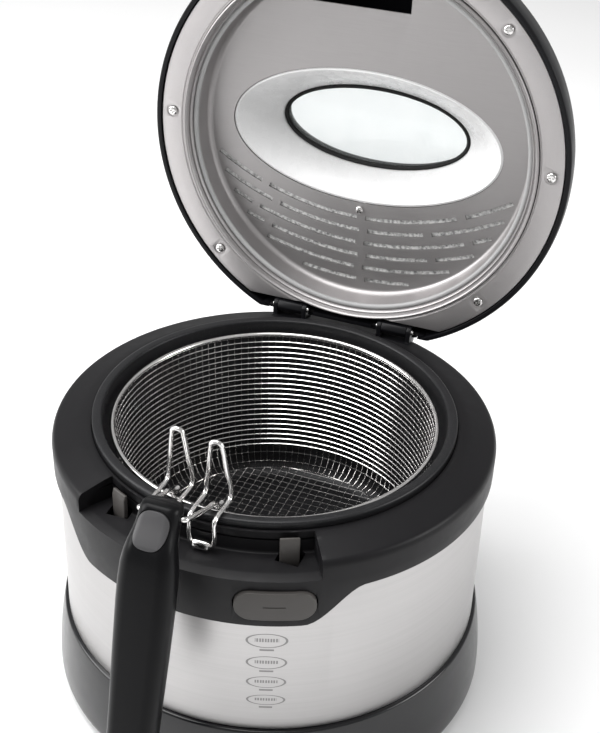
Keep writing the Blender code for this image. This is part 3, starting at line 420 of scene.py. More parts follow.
def brushed_steel():
    """Brushed stainless with printed ovals: the grain runs round the band in long fine lines."""
    finish = Finish("brushed_stainless", metallic=1.0)
    fine = finish.noise(0.22, 1.0, (400.0, 400.0, 1.0))
    broad = finish.noise(3.0, 2.0, (200.0, 200.0, 1.0))
    parts = finish.node("ShaderNodeSeparateXYZ", {}, {0: finish.place})
    x = Flow(finish, parts.socket.node.outputs[0])
    y = Flow(finish, parts.socket.node.outputs[1])
    z = Flow(finish, parts.socket.node.outputs[2])
    angle = x.math("ARCTAN2", x, AXIS_Y - y)
    along = (angle - radians(OVAL_ANGLE)) * BAND_R
    up = level(z)
    ink = along < NOWHERE
    for height, half_width, half_height in OVALS:
        rise = up - height
        reach = ((along / half_width) ** 2 + (rise / half_height) ** 2) ** 0.5
        outline = abs(reach - 1.0) < 0.06
        marks = (abs(rise - 0.4) < half_height * 0.26) * (abs(along) < half_width * 0.60)
        dashes = abs(marks.math("PINGPONG", along * 1.1 + half_height, 1.7) - 0.9) < 0.55
        bar = (abs(rise + half_height + 1.9) < 0.65) * (abs(along) < half_width * 0.36)
        ink = ink | outline | marks * dashes | bar
    ink = ink * 0.62
    steel = finish.blend(fine * 0.6 + broad * 0.4, (0.40, 0.392, 0.390), (0.52, 0.51, 0.508))
    return finish.feed(base_color=finish.blend(ink, steel, (0.10, 0.10, 0.10)),
                       roughness=0.33 + fine * 0.06 + ink * 0.25,
                       normal=finish.bump(fine, 0.004))


band = spun("steel_wrap", [
    (BAND_R, BAND_LOW, 0.3), (BAND_R, BAND_TOP, 0.2), (BAND_R - SHEET, BAND_TOP, 0.2),
    (BAND_R - SHEET, BAND_LOW, 0.2)], steps=240)
cut(band, sector("button_room", BAND_R - 5, BAND_R + 4, -49, BAND_TOP + 4, -27, 33, 40))
cut(band, sector("pocket_room", BAND_R - 5, BAND_R + 4, -35, BAND_TOP + 4, -36, 36, 48))
smooth(band)
band.data.materials.append(brushed_steel())
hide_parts("steel_band")
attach(band, "housing")


# ---- deck --------------------------------------------------------------------------------------
# The deck is the charcoal moulding that frames the bowl. Its skirt covers the steel's top edge
# and dips in front in an S at each side, behind the release button. An open shelf in front takes
# the basket's hooks and the lid's catches, and two seats behind take the hinges.
deck_low, deck_high = corners_of("deck_ring")
DECK_R = deck_high.x / MM
COLLAR_R = LIP_R + 0.4
SKIRT = -30.0
PANEL = level(deck_low.z)
SHELL = 2.5
POCKET_IN = COLLAR_R + 1.7
POCKET_FLOOR = -19.7
POCKET_HALF = 33.0
PANEL_FLAT = 29.0
PANEL_HALF = 44.0
DECK_STEPS = 240
CATCH_GAP = 0.0012
CATCH_TRAVEL = 0.0034
SEAT_GAP = 0.0003
BUTTON_HALF = (22.6, 9.4)
BUTTON_GAP = 0.8


def block(name, low, high):
    """A plain block between two corners, for cutting with."""
    low, high = Vector(low), Vector(high)
    bpy.ops.object.select_all(action="DESELECT")
    bpy.ops.mesh.primitive_cube_add(size=1, location=(low + high) / 2, scale=high - low)
    return settled(name)


def panel_drop(angle):
    """How far the front panel hangs below the skirt at an angle from the front."""
    share = min(max((abs(angle) - PANEL_FLAT) / (PANEL_HALF - PANEL_FLAT), 0.0), 1.0)
    return (SKIRT - PANEL) * (1 - share * share * (3 - 2 * share))


def hang_front_panel(piece):
    """Pulls the skirt's lower edge down, one column at a time, into the panel's S."""
    pick(piece)
    bpy.ops.object.mode_set(mode="EDIT")
    edge = BEAD_Z + (SKIRT + 1.2) * MM
    for number in range(DECK_STEPS):
        angle = (number * 360 / DECK_STEPS + 180) % 360 - 180
        drop = panel_drop(angle)
        if drop == 0:
            continue
        bpy.ops.mesh.select_all(action="DESELECT")
        mesh = bmesh.from_edit_mesh(piece.data)
        for vertex in mesh.verts:
            here = degrees(atan2(vertex.co.x, AXIS_Y - vertex.co.y))
            low = vertex.co.z < edge and (vertex.co.xy - Vector((0, AXIS_Y))).length > (DECK_R - 4) * MM
            vertex.select = low and abs(here - angle) < 180 / DECK_STEPS
        mesh.select_flush(True)
        bmesh.update_edit_mesh(piece.data)
        bpy.ops.transform.translate(value=(0, 0, -drop * MM))
    bpy.ops.object.mode_set(mode="OBJECT")


def button_prism(name, grow, near, far):
    """The release button's rounded outline as a prism that points out from the bowl."""
    half_w, half_h = BUTTON_HALF[0] + grow, BUTTON_HALF[1] + grow
    corner = half_h * 0.98
    corners = [(half_w, half_h, corner), (-half_w, half_h, corner), (-half_w, -half_h, corner),
               (half_w, -half_h, corner)]
    steps = 8
    points = []
    for a, b, fillet in corners:
        start = degrees(atan2(b, a)) // 90 * 90
        for k in range(steps + 1):
            turn = radians(start + 90 * k / steps)
            points.append(Vector(((abs(a) - fillet) * (1 if a > 0 else -1) + fillet * cos(turn),
                                  (abs(b) - fillet) * (1 if b > 0 else -1) + fillet * sin(turn))))
    middle = around(near, 0, BUTTON_UP)
    flat = [middle + Vector((p.x * MM, 0, p.y * MM)) for p in points]
    piece = prism(name, flat, (0, -(far - near) * MM, 0))
    turn_about(piece, Vector((0, AXIS_Y, 0)), BUTTON_ANGLE, "Z")
    return piece


def turn_about(piece, centre, angle, axis):
    """Turns a finished shape about a point and keeps its object at the origin, unturned."""
    pick(piece)
    turn = Matrix.Rotation(radians(angle), 4, axis)
    piece.matrix_world = Matrix.Translation(centre) @ turn @ Matrix.Translation(-centre)
    bpy.ops.object.transform_apply(location=True, rotation=True, scale=True)


button_low, button_high = corners_of("release_button")
BUTTON_UP = level((button_low.z + button_high.z) / 2)

deck = spun("deck_moulding", [
    (COLLAR_R, -4.5, 0.4), (COLLAR_R + 6.0, -5.2, 3), (DECK_R - 9, -7.4, 6), (DECK_R - 1.6, -9.2, 2.0),
    (DECK_R, -12.4, 1.6), (DECK_R - 0.1, -20, 3), (DECK_R - 0.3, SKIRT, 0.7),
    (DECK_R - SHELL, SKIRT, 0.3), (DECK_R - SHELL - 0.1, -14, 1), (DECK_R - 4.6, -11.6, 1.5),
    (COLLAR_R, -8.9, 0), (BEAD_R - 0.8, -8.9, 0.3), (BEAD_R - 0.8, -6.5, 0.3), (COLLAR_R, -6.5, 0)],
    steps=DECK_STEPS)
hang_front_panel(deck)
cut(deck, sector("tray", COLLAR_R, DECK_R - 1.0, POCKET_FLOOR - 1.7, -10.5,
                 -POCKET_HALF - 1.2, POCKET_HALF + 1.2, 46), "UNION")
shelf = spun("shelf_cut", [
    (POCKET_IN, 4, 0), (POCKET_IN, POCKET_FLOOR + 0.6, 1.6), (DECK_R - 6, POCKET_FLOOR, 1.0),
    (DECK_R - 2, POCKET_FLOOR - 0.8, 1.5), (DECK_R + 6, POCKET_FLOOR - 3.4, 0), (DECK_R + 6, 4, 0)],
    steps=88, start=-POCKET_HALF, sweep=2 * POCKET_HALF)
cut(deck, shelf)
cut(deck, button_prism("button_cut", BUTTON_GAP, DECK_R - 12, DECK_R + 10))
for side in ("left", "right"):
    catch_low, catch_high = corners_of(f"latch_catch_{side}")
    floor_z = BEAD_Z + POCKET_FLOOR * MM
    cut(deck, block("catch_cut",
                    (catch_low.x - CATCH_GAP, catch_low.y - CATCH_GAP, floor_z - 0.005),
                    (catch_high.x + CATCH_GAP, catch_high.y + CATCH_TRAVEL, floor_z + 0.003)))
    seat_low, seat_high = corners_of(f"hinge_bracket_{side}")
    cut(deck, block("seat_cut",
                    (seat_low.x - SEAT_GAP, seat_low.y - SEAT_GAP, seat_low.z - 0.0045),
                    (seat_high.x + SEAT_GAP, seat_high.y + SEAT_GAP, seat_high.z + 0.005)))
soften(deck, 0.35, 2, 55)
smooth(deck)
deck_grey = moulded("deck_charcoal", (0.0070, 0.0067, 0.0075), 0.40, 0.45, 0.018, 0.16)
deck.data.materials.append(deck_grey)
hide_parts("deck_ring")
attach(deck, "housing")


# ---- release button ------------------------------------------------------------------------------
# The long oval button is a separate grey moulding in the front panel. Its face follows the
# panel's curve, with a soft edge all round and a plain bar pressed into the middle.
button = button_prism("release_button_face", 0.0, DECK_R - 6, DECK_R + 6)
cut(button, sector("button_curve", DECK_R - 4, DECK_R + 2.2, PANEL - 10, 0, BUTTON_ANGLE - 20,
                   BUTTON_ANGLE + 20, 40), "INTERSECT")
soften(button, 1.1, 4, 40)
groove = sector("button_groove", DECK_R + 1.8, DECK_R + 5,
                BUTTON_UP - 0.35, BUTTON_UP + 0.35,
                BUTTON_ANGLE - 2.8, BUTTON_ANGLE + 2.4, 12)
cut(button, groove)
smooth(button, 40)
button_grey = moulded("button_grey", (0.062, 0.058, 0.055), 0.36, 0.4, 0.012, 0.25)
button.data.materials.append(button_grey)
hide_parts("release_button")
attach(button, "release")


# ---- small mouldings and pins --------------------------------------------------------------------
# Brackets, catches, pins and the like keep the shape they were designed with, and get the small
# radii that a mould or a lathe leaves on every edge.
def eased(name, node, width):
    """A copy of a frame node with its flat faces joined up and its edges rounded."""
    source = frame["nodes"][node]
    pick(source)
    bpy.ops.object.duplicate()
    piece = bpy.context.object
    piece.name = name
    piece.data.materials.clear()
    bpy.ops.object.mode_set(mode="EDIT")
    bpy.ops.mesh.select_all(action="SELECT")
    bpy.ops.mesh.remove_doubles(threshold=0.005 * MM)
    bpy.ops.mesh.dissolve_limited(angle_limit=radians(1.0))
    bpy.ops.object.mode_set(mode="OBJECT")
    soften(piece, width, 2, 30)
    smooth(piece, 45)
    return piece


def turned_steel(name, colour, roughness):
    """Bright plated steel: almost mirror-smooth, with faint draw lines and dulled spots."""
    finish = Finish(name, metallic=1.0)
    dull = finish.noise(5.0, 3.0)
    lines = finish.noise(0.6, 1.0)
    return finish.feed(base_color=finish.blend(dull, colour, [c * 0.9 for c in colour]),
                       roughness=roughness + dull * 0.10 + lines * 0.05,
                       normal=finish.bump(lines, 0.006))


black = moulded("black_plastic", (0.004, 0.004, 0.005), 0.36, 0.4, 0.012, 0.2)
chrome = turned_steel("bright_wire", (0.80, 0.79, 0.78), 0.10)
EASED = (
    ("hinge_bracket_left", 0.35, "housing", "black_plastic", black),
    ("hinge_bracket_right", 0.35, "housing", "black_plastic", black),
    ("hinge_pin_left", 0.3, "housing", "steel", chrome),
    ("hinge_pin_right", 0.3, "housing", "steel", chrome),
    ("cord_inlet", 0.6, "housing", "black_plastic", black),
    ("latch_catch_left", 0.5, "latch", "button_plastic", button_grey),
    ("latch_catch_right", 0.5, "latch", "button_plastic", button_grey),
    ("lid_striker_left", 0.25, "lid", "steel", chrome),
    ("lid_striker_right", 0.25, "lid", "steel", chrome),
    ("lid_hinge_plate", 0.3, "lid", "black_plastic", black),
)
for node, width, body, slot, finish in EASED:
    piece = eased(f"{node}_eased", node, width)
    piece.data.materials.append(finish)
    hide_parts(node)
    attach(piece, body)


# ---- lid shell -----------------------------------------------------------------------------------
# The lid is a deep black dome with a thick rim, flat behind at the hinges and notched in front
# for the basket's handle. It has an oval window in the top and three vents behind it. It is
# drawn shut and swung open on the hinge.
hinge = next(joint for joint in frame["joints"] if joint["name"] == "lid_hinge")
HINGE = Vector(hinge["pos_m"])
LID_OPEN = max(abs(limit) for limit in hinge["range_deg"])
LID_EDGE = DECK_R + 3.5
LID_TOP = 56.5
LID_BACK = HINGE.y + 0.003
HANDLE_X = -0.008
NOTCH_HALF = 0.032
WINDOW = (66.0, 29.0)
WELL = (92.0, 45.0)
OVAL_STEPS = 128
VENTS = (58.0, 67.0, 76.0)
VENT_LONG = 0.030


def swing_open(piece):
    """Turns a lid piece from shut to where the open lid stands."""
    turn_about(piece, HINGE, -LID_OPEN, "X")


def oval_rings(name, rings, closed):
    """Upright walls drawn from oval ring to oval ring of (half width, half depth, height)."""
    bpy.ops.object.select_all(action="DESELECT")
    half_x, half_y, height = rings[0]
    bpy.ops.mesh.primitive_circle_add(vertices=OVAL_STEPS, radius=MM, location=(0, 0, 0),
                                      fill_type="NOTHING" if closed else "NGON")
    piece = bpy.context.object
    piece.name = name
    centre = around(0, 0, height)
    bpy.ops.object.mode_set(mode="EDIT")
    bpy.ops.mesh.select_all(action="SELECT")
    bpy.ops.transform.resize(value=(half_x, half_y, 1), center_override=(0, 0, 0))
    bpy.ops.transform.translate(value=centre)
    for before, after in zip(rings, rings[1:] + rings[:1] if closed else rings[1:]):
        bpy.ops.mesh.extrude_region_move()
        bpy.ops.transform.resize(value=(after[0] / before[0], after[1] / before[1], 1),
                                 center_override=around(0, 0, before[2]))
        bpy.ops.transform.translate(value=(0, 0, (after[2] - before[2]) * MM))
    bpy.ops.mesh.select_all(action="SELECT")
    bpy.ops.mesh.remove_doubles(threshold=0.01 * MM)
    leave_edit()
    return piece


def front_notch(name, near, high):
    """The room in the lid's front for the handle's wires."""
    return block(name, (HANDLE_X - NOTCH_HALF, AXIS_Y - (LID_EDGE + 10) * MM, BEAD_Z - 0.010),
                 (HANDLE_X + NOTCH_HALF, AXIS_Y - near * MM, BEAD_Z + high * MM))


def back_slice(name, start):
    """Everything behind the lid's flat back."""
    return block(name, (-0.2, start, BEAD_Z - 0.010), (0.2, 0.3, BEAD_Z + 0.07))


lid = spun("lid_dome", [
    (0, LID_TOP, 0), (49.9, 55.7, 8), (90.5, 53.4, 12), (113.5, 48.0, 12), (129.5, 36.7, 11),
    (LID_EDGE - 2, 20.3, 9), (LID_EDGE, 4, 3), (LID_EDGE - 0.3, -2.6, 1.2),
    (LID_EDGE - 3.6, -2.6, 0.5), (LID_EDGE - 3.6, 4, 2), (133.8, 20.3, 8), (126.7, 35.0, 8),
    (111.7, 46.9, 9), (89.7, 50.9, 10), (49.9, 53.2, 8), (0, 54.0, 0)], closed=False)
cut(lid, back_slice("lid_back_cut", LID_BACK))
cut(lid, front_notch("lid_front_cut", BEAD_R - 4, 27))
cut(lid, oval_rings("lid_window_cut", [(WINDOW[0] - 3, WINDOW[1] - 3, 34),
                                       (WINDOW[0] - 3, WINDOW[1] - 3, 66)], False))
for vent_y in VENTS:
    cut(lid, block("lid_vent_cut", (-VENT_LONG, AXIS_Y + (vent_y - 2) * MM, BEAD_Z + 0.040),
                   (VENT_LONG, AXIS_Y + (vent_y + 2) * MM, BEAD_Z + 0.066)))
soften(lid, 0.5, 2, 50)
smooth(lid)
swing_open(lid)
lid.data.materials.append(black)
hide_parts("lid_shell")
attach(lid, "lid")


# ---- lid flange ----------------------------------------------------------------------------------
# A flat satin ring of pressed aluminium closes the lid's underside between its rim and the vent
# plate. Six screws hold it, each in a shallow stamped seat.
FLANGE_OUT = LID_EDGE - 4.2
FLANGE_IN = LID_EDGE - 19.5
SCREW_R = (FLANGE_IN + FLANGE_OUT) / 2
SCREW_ANGLES = (-134, -88, -45, 45, 88, 134)


def pressed_metal(name, colour, roughness, streak=(1.0, 40.0, 1.0)):
    """Satin pressed aluminium with faint rolling streaks and soft smudges."""
    finish = Finish(name, metallic=0.9)
    rolled = finish.noise(0.5, 2.0, streak)
    smudge = finish.noise(26.0, 3.0)
    shade = finish.blend(smudge, [c * 0.86 for c in colour], colour)
    return finish.feed(base_color=finish.blend(rolled, shade, [c * 1.05 for c in colour]),
                       roughness=roughness + rolled * 0.10 + smudge * 0.10,
                       normal=finish.bump(rolled, 0.01))


def drill(name, radius, angle, low, high, out):
    """A round cutter that stands on the lid at an angle round its edge."""
    bpy.ops.object.select_all(action="DESELECT")
    spot = around(out, angle, (low + high) / 2)
    bpy.ops.mesh.primitive_cylinder_add(vertices=32, radius=radius * MM, depth=(high - low) * MM,
                                        location=spot)
    return settled(name)


flange = spun("lid_flange_pressed", [
    (FLANGE_OUT, 0.2, 0.3), (FLANGE_OUT, -1.6, 0.7), (FLANGE_IN + 1.4, -1.6, 0.5),
    (FLANGE_IN + 0.9, -1.1, 0.4), (FLANGE_IN, -1.1, 0.3), (FLANGE_IN, 0.2, 0.2)])
cut(flange, back_slice("flange_back_cut", HINGE.y - 0.0054))
cut(flange, front_notch("flange_front_cut", BEAD_R - 20, 10))
for angle in SCREW_ANGLES:
    cut(flange, drill("screw_seat_cut", 4.4, angle, -4, -1.0, SCREW_R))
    cut(flange, drill("screw_hole_cut", 1.8, angle, -4, 4, SCREW_R))
soften(flange, 0.2, 2, 50)
smooth(flange)
swing_open(flange)
flange_metal = pressed_metal("flange_satin", (0.52, 0.50, 0.50), 0.36)
flange.data.materials.append(flange_metal)
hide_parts("lid_flange")
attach(flange, "lid")


# ---- lid screws ----------------------------------------------------------------------------------
# Six small pan-head screws with a cross recess hold the flange, and one more holds the vent
# plate in the middle of its edge.
def pan_screw(name, spot, face, radius):
    """A pan head that faces down, with its shank above and a cross cut into it."""
    centre = (spot.x, spot.y - AXIS_Y)
    screw = spun(name, [
        (0, face + 9.0, 0), (1.35, face + 9.0, 0.3), (1.35, face + 1.6, 0), (radius, face + 1.6, 0.2),
        (radius - 0.1, face + 0.7, 0.5), (radius - 0.9, face, 0.6), (0, face, 0)],
        closed=False, steps=32, centre=centre)
    for long_x, long_y in ((1.5, 0.3), (0.3, 1.5)):
        reach = Vector((long_x, long_y, 0)) * radius / 2.8 * MM
        deep = Vector((0, 0, 1)) * MM
        middle = Vector((spot.x, spot.y, BEAD_Z + face * MM))
        cut(screw, block("cross_cut", middle - reach - deep, middle + reach + deep * 0.8))
    smooth(screw, 35)
    return screw


SCREW_FACE = -2.9
PLATE_SCREW_R = WELL[1] + 5.0
screw_spots = [around(SCREW_R, angle, 0) for angle in SCREW_ANGLES]
for number, spot in enumerate(screw_spots, start=1):
    screw = pan_screw(f"lid_screw_{number}_turned", spot, SCREW_FACE, 3.2)
    swing_open(screw)
    screw.data.materials.append(chrome)
    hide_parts(f"lid_screw_{number}")
    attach(screw, "lid")
DISH_FLOOR = 20.0
plate_screw = pan_screw("vent_plate_screw_turned", around(PLATE_SCREW_R, 180, 0), DISH_FLOOR - 1.8, 2.8)
swing_open(plate_screw)
plate_screw.data.materials.append(chrome)
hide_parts("vent_plate_screw")
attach(plate_screw, "lid")


# ---- vent plate ----------------------------------------------------------------------------------
# The dished vent plate is one aluminium pressing: a double rolled ridge round its edge, a sloping
# wall, and a flat floor with an oval opening and six bowed rows of vent slots behind it.
DISH_R = BEAD_R + 10.6
SLOT_ROWS = 6
FIRST_ROW = WELL[1] + 10.5
ROW_PITCH = 9.0
ROW_CENTRE = -133.0
SLOT_HALF = 1.5
SLOT_ENDS = DISH_R - 14.0
BARS = ((-21.0, 0.4, 21.5), (-17.5, 1.0, 14.0))
BAR_HALF = 3.0


def row_reach(radius):
    """The angle at which a row of that radius meets the edge of the dish's floor."""
    y = (radius ** 2 - ROW_CENTRE ** 2 - SLOT_ENDS ** 2) / (-2 * ROW_CENTRE)
    x = sqrt(max(SLOT_ENDS ** 2 - y ** 2, 0.0))
    return degrees(atan2(x, y - ROW_CENTRE))


def slot_cutter(radius, start, end):
    """A bowed slot with straight radial ends, spun about a point in front of the window."""
    outline = [(radius - SLOT_HALF, DISH_FLOOR - 4, 0), (radius + SLOT_HALF, DISH_FLOOR - 4, 0),
               (radius + SLOT_HALF, DISH_FLOOR + 4, 0), (radius - SLOT_HALF, DISH_FLOOR + 4, 0)]
    return spun("slot_cut", outline, steps=max(int((end - start) / 2), 3), start=180 - end,
                sweep=end - start, centre=(0.0, ROW_CENTRE * MM))


plate = spun("vent_plate_pressed", [
    (0, DISH_FLOOR + 1.2, 0), (DISH_R - 7.8, DISH_FLOOR + 1.2, 1), (DISH_R - 6.2, DISH_FLOOR, 1),
    (DISH_R - 2.4, 3.0, 1), (DISH_R - 0.6, -0.6, 0.3), (DISH_R, -0.8, 0.3), (DISH_R, -2.6, 0.7),
    (DISH_R - 1.2, -3.4, 0.7), (DISH_R - 2.2, -2.2, 0.7), (DISH_R - 2.8, 0.6, 0.5),
    (DISH_R - 3.8, -0.2, 0.6), (DISH_R - 4.8, 1.4, 0.7), (DISH_R - 5.0, 4.0, 1.0),
    (DISH_R - 8.4, DISH_FLOOR - 2.4, 2.0), (DISH_R - 10.4, DISH_FLOOR, 1.2), (0, DISH_FLOOR, 0)],
    closed=False)
cut(plate, oval_rings("plate_window_cut", [(WELL[0], WELL[1], DISH_FLOOR - 6),
                                           (WELL[0], WELL[1], DISH_FLOOR + 6)], False))
cut(plate, front_notch("plate_front_cut", BEAD_R - 24, 30))
for row in range(SLOT_ROWS):
    radius = FIRST_ROW - ROW_CENTRE + ROW_PITCH * row
    reach = row_reach(radius)
    bar = degrees(BAR_HALF / radius)
    edges = [-reach] + [angle for angle in BARS[row % 2] if abs(angle) < reach - 2] + [reach]
    for number, (start, end) in enumerate(zip(edges, edges[1:])):
        left = start + (0 if number == 0 else bar)
        right = end - (0 if number == len(edges) - 2 else bar)
        if right - left > 2:
            cut(plate, slot_cutter(radius, left, right))
cut(plate, drill("plate_screw_cut", 1.7, 180, DISH_FLOOR - 4, DISH_FLOOR + 4, PLATE_SCREW_R))
smooth(plate, 40)
swing_open(plate)
plate_metal = pressed_metal("vent_plate_satin", (0.40, 0.385, 0.385), 0.34, (40.0, 1.0, 1.0))
plate.data.materials.append(plate_metal)
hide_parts("vent_plate")
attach(plate, "lid")


# ---- filter pad ----------------------------------------------------------------------------------
# A pale felt pad lies on the vent plate behind the slots. It is cut to the window's well in front
# and bevelled along its outer edge to fit under the dome.
def woven_felt():
    """Pale pressed fibre: a dense tangle with darker pores."""
    finish = Finish("filter_felt", sheen_weight=0.3)
    fibres = finish.noise(0.8, 4.0, (1.0, 6.0, 1.0))
    pores = finish.ramp(finish.noise(2.2, 2.0), 0.30, 0.60)
    return finish.feed(base_color=finish.blend(pores, (0.22, 0.22, 0.22), (0.78, 0.78, 0.77)),
                       roughness=0.85 + fibres * 0.1, normal=finish.bump(fibres, 0.2))


PAD_LOW = DISH_FLOOR + 1.5
PAD_HALF_ANGLE = 76.0
pad = spun("filter_pad_cut", [
    (30, PAD_LOW, 0), (DISH_R - 10.5, PAD_LOW, 0), (DISH_R - 13.5, PAD_LOW + 6.0, 1.0),
    (30, PAD_LOW + 8.0, 0)], steps=66, start=180 - PAD_HALF_ANGLE, sweep=2 * PAD_HALF_ANGLE)
cut(pad, oval_rings("pad_window_cut", [(WELL[0] + 2.5, WELL[1] + 2.5, PAD_LOW - 4),
                                       (WELL[0] + 2.5, WELL[1] + 2.5, PAD_LOW + 12)], False))
cut(pad, drill("pad_screw_cut", 3.4, 180, PAD_LOW - 4, PAD_LOW + 12, PLATE_SCREW_R))
smooth(pad, 40)
swing_open(pad)
pad.data.materials.append(woven_felt())
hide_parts("filter_pad")
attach(pad, "lid")


# ---- lid seal ------------------------------------------------------------------------------------
# A grey silicone cord is pressed in behind the ridge, and stops short on both sides of the notch
# for the handle.
SEAL_R = DISH_R - 6.3
seal = spun("lid_seal_cord", [
    (SEAL_R + 1.7 * cos(radians(a)), 4.0 + 1.7 * sin(radians(a)), 0) for a in range(0, 360, 30)],
    start=18, sweep=324)
smooth(seal, 50)
swing_open(seal)
silicone = moulded("grey_silicone", (0.36, 0.36, 0.36), 0.5, 0.6, 0.01, 0.4)
seal.data.materials.append(silicone)
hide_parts("lid_seal")
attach(seal, "lid")


# ---- window --------------------------------------------------------------------------------------
# A bright pale oval well slopes from the vent plate up to the pane; its pale colour is a painted
# reflection, standing in for the glare on this part of the lid. The pane is clear glass with ground
# edges. A black gasket grips it on both faces and shows as a dark line round it.
PANE_LOW = LID_TOP * 0.985 - SHELL - 8.5
WELL_FOOT = (WELL[0] - 1.7, WELL[1] - 1.7)


def oval(half, height, grow=0.0):
    """A ring for oval_rings: a half width and depth made larger by grow, at a height."""
    return (half[0] + grow, half[1] + grow, height)


well = oval_rings("window_well_moulded", [
    oval(WELL_FOOT, DISH_FLOOR + 0.2), oval(WELL_FOOT, DISH_FLOOR + 1.2, -1.4),
    oval(WINDOW, PANE_LOW - 4.0, -0.4), oval(WINDOW, PANE_LOW - 2.2, -1.2),
    oval(WINDOW, PANE_LOW - 0.4, -1.2), oval(WINDOW, PANE_LOW - 0.4, 3),
    oval(WINDOW, PANE_LOW - 1.8, 3), oval(WELL_FOOT, DISH_FLOOR + 0.9, 1.4)], True)
smooth(well, 30)
swing_open(well)
# painted reflection: the well's bright pale colour stands in for the glare seen on this part of the lid
painted_glare_white = moulded("window_painted_glare_white", (0.74, 0.74, 0.74), 0.26, 0.8, 0.004, 0.4)
well.data.materials.append(painted_glare_white)
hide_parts("window_well")
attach(well, "lid")


def clear_glass():
    """Clear pane with a faint film of grease and dust that blurs it in patches."""
    finish = Finish("window_glass", transmission_weight=0.9, ior=1.45)
    film = finish.noise(14.0, 3.0)
    return finish.feed(base_color=finish.blend(film, (0.84, 0.88, 0.88), (0.92, 0.94, 0.94)),
                       roughness=0.02 + film * 0.08,
                       normal=finish.bump(film, 0.01))


pane = oval_rings("window_pane", [oval(WINDOW, PANE_LOW), oval(WINDOW, PANE_LOW + 3.0)], False)
soften(pane, 0.6, 3, 50)
smooth(pane, 40)
swing_open(pane)
pane.data.materials.append(clear_glass())
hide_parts("window_glass")
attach(pane, "lid")

gasket = oval_rings("window_gasket_ring", [
    oval(WINDOW, PANE_LOW + 3.3, -3), oval(WINDOW, PANE_LOW + 7.0, -3), oval(WINDOW, PANE_LOW + 7.0, 1),
    oval(WINDOW, PANE_LOW + 3.3, 1)], True)
lip = oval_rings("gasket_lip", [
    oval(WINDOW, PANE_LOW - 0.3, -4.2), oval(WINDOW, PANE_LOW - 2.4, -3.8),
    oval(WINDOW, PANE_LOW - 2.8, -2.6), oval(WINDOW, PANE_LOW - 2.4, -1.5),
    oval(WINDOW, PANE_LOW - 0.3, -1.5)], True)
pick(gasket)
lip.select_set(True)
bpy.ops.object.join()
soften(gasket, 0.5, 2, 50)
smooth(gasket)
swing_open(gasket)
gasket.data.materials.append(rubber)
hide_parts("window_gasket")
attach(gasket, "lid")


# ---- basket --------------------------------------------------------------------------------------
# The basket is plated wire mesh, welded to a stout rim. Upright wires cross hoops that are one
# pitch apart, and a square mesh makes the floor.
basket_low, basket_high = corners_of("basket")
rim_low, rim_high = corners_of("basket_rim")
RIM_WIRE = (rim_high.z - rim_low.z) / 2 / MM
RIM_Z = level((rim_high.z + rim_low.z) / 2)
BASKET_R = basket_high.x / MM
BASKET_LOW = level(basket_low.z)
MESH_WIRE = 0.8
UPRIGHTS = 132
HOOPS = 21
FLOOR_R = BASKET_R - 15.0


def wired(piece):
    """Turns a sheet's edges into square wires that are welded where they cross."""
    pick(piece)
    bpy.ops.object.modifier_add(type="WIREFRAME")
    modifier = piece.modifiers[-1]
    modifier.thickness = MESH_WIRE * MM
    modifier.use_even_offset = False
    modifier.use_boundary = True
    bpy.ops.object.modifier_apply(modifier=modifier.name)


top = RIM_Z - 1.0
bend = BASKET_LOW + 13.5
wall = [(BASKET_R - 0.7 - 3.4 * k / HOOPS, top + (bend - top) * k / HOOPS, 0) for k in range(HOOPS + 1)]
wall += [(BASKET_R - 5.6, BASKET_LOW + 7.5, 0), (BASKET_R - 9.5, BASKET_LOW + 2.6, 0),
         (FLOOR_R, BASKET_LOW + 0.9, 0)]
basket = spun("basket_mesh", wall, closed=False, steps=UPRIGHTS)
wired(basket)
bpy.ops.object.select_all(action="DESELECT")
bpy.ops.mesh.primitive_grid_add(x_subdivisions=31, y_subdivisions=31, size=2 * (FLOOR_R + 3) * MM,
                                location=(0, 0, 0))
floor_mesh = bpy.context.object
bpy.ops.object.mode_set(mode="EDIT")
bpy.ops.mesh.select_all(action="SELECT")
bpy.ops.transform.translate(value=around(0, 0, BASKET_LOW + 0.9))
bpy.ops.mesh.select_all(action="DESELECT")
grid = bmesh.from_edit_mesh(floor_mesh.data)
for vertex in grid.verts:
    vertex.select = (vertex.co.xy - Vector((0, AXIS_Y))).length > (FLOOR_R + 1.5) * MM
grid.select_flush(True)
bmesh.update_edit_mesh(floor_mesh.data)
bpy.ops.mesh.delete(type="VERT")
bpy.ops.object.mode_set(mode="OBJECT")
wired(floor_mesh)
floor_mesh.select_set(True)
basket.select_set(True)
bpy.context.view_layer.objects.active = basket
bpy.ops.object.join()
smooth(basket, 50)
basket.data.materials.append(chrome)
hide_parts("basket")
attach(basket, "basket")


def wire(name, points, radius, closed=False, sides=3):
    """A round bent wire through the points, made a mesh."""
    bpy.ops.object.select_all(action="DESELECT")
    bpy.ops.curve.primitive_bezier_curve_add(location=(0, 0, 0))
    piece = bpy.context.object
    piece.name = name
    spline = piece.data.splines[0]
    spline.bezier_points.add(len(points) - len(spline.bezier_points))
    for bead, point in zip(spline.bezier_points, points):
        bead.co = point
        bead.handle_left_type = "AUTO"
        bead.handle_right_type = "AUTO"
    spline.use_cyclic_u = closed
    piece.data.resolution_u = 4
    piece.data.bevel_depth = radius * MM
    piece.data.bevel_resolution = sides
    piece.data.use_fill_caps = True
    bpy.ops.object.convert(target="MESH")
    pick(piece)
    bpy.ops.object.mode_set(mode="EDIT")
    bpy.ops.mesh.select_all(action="SELECT")
    bpy.ops.mesh.remove_doubles(threshold=0.005 * MM)
    leave_edit()
    smooth(piece, 50)
    return piece


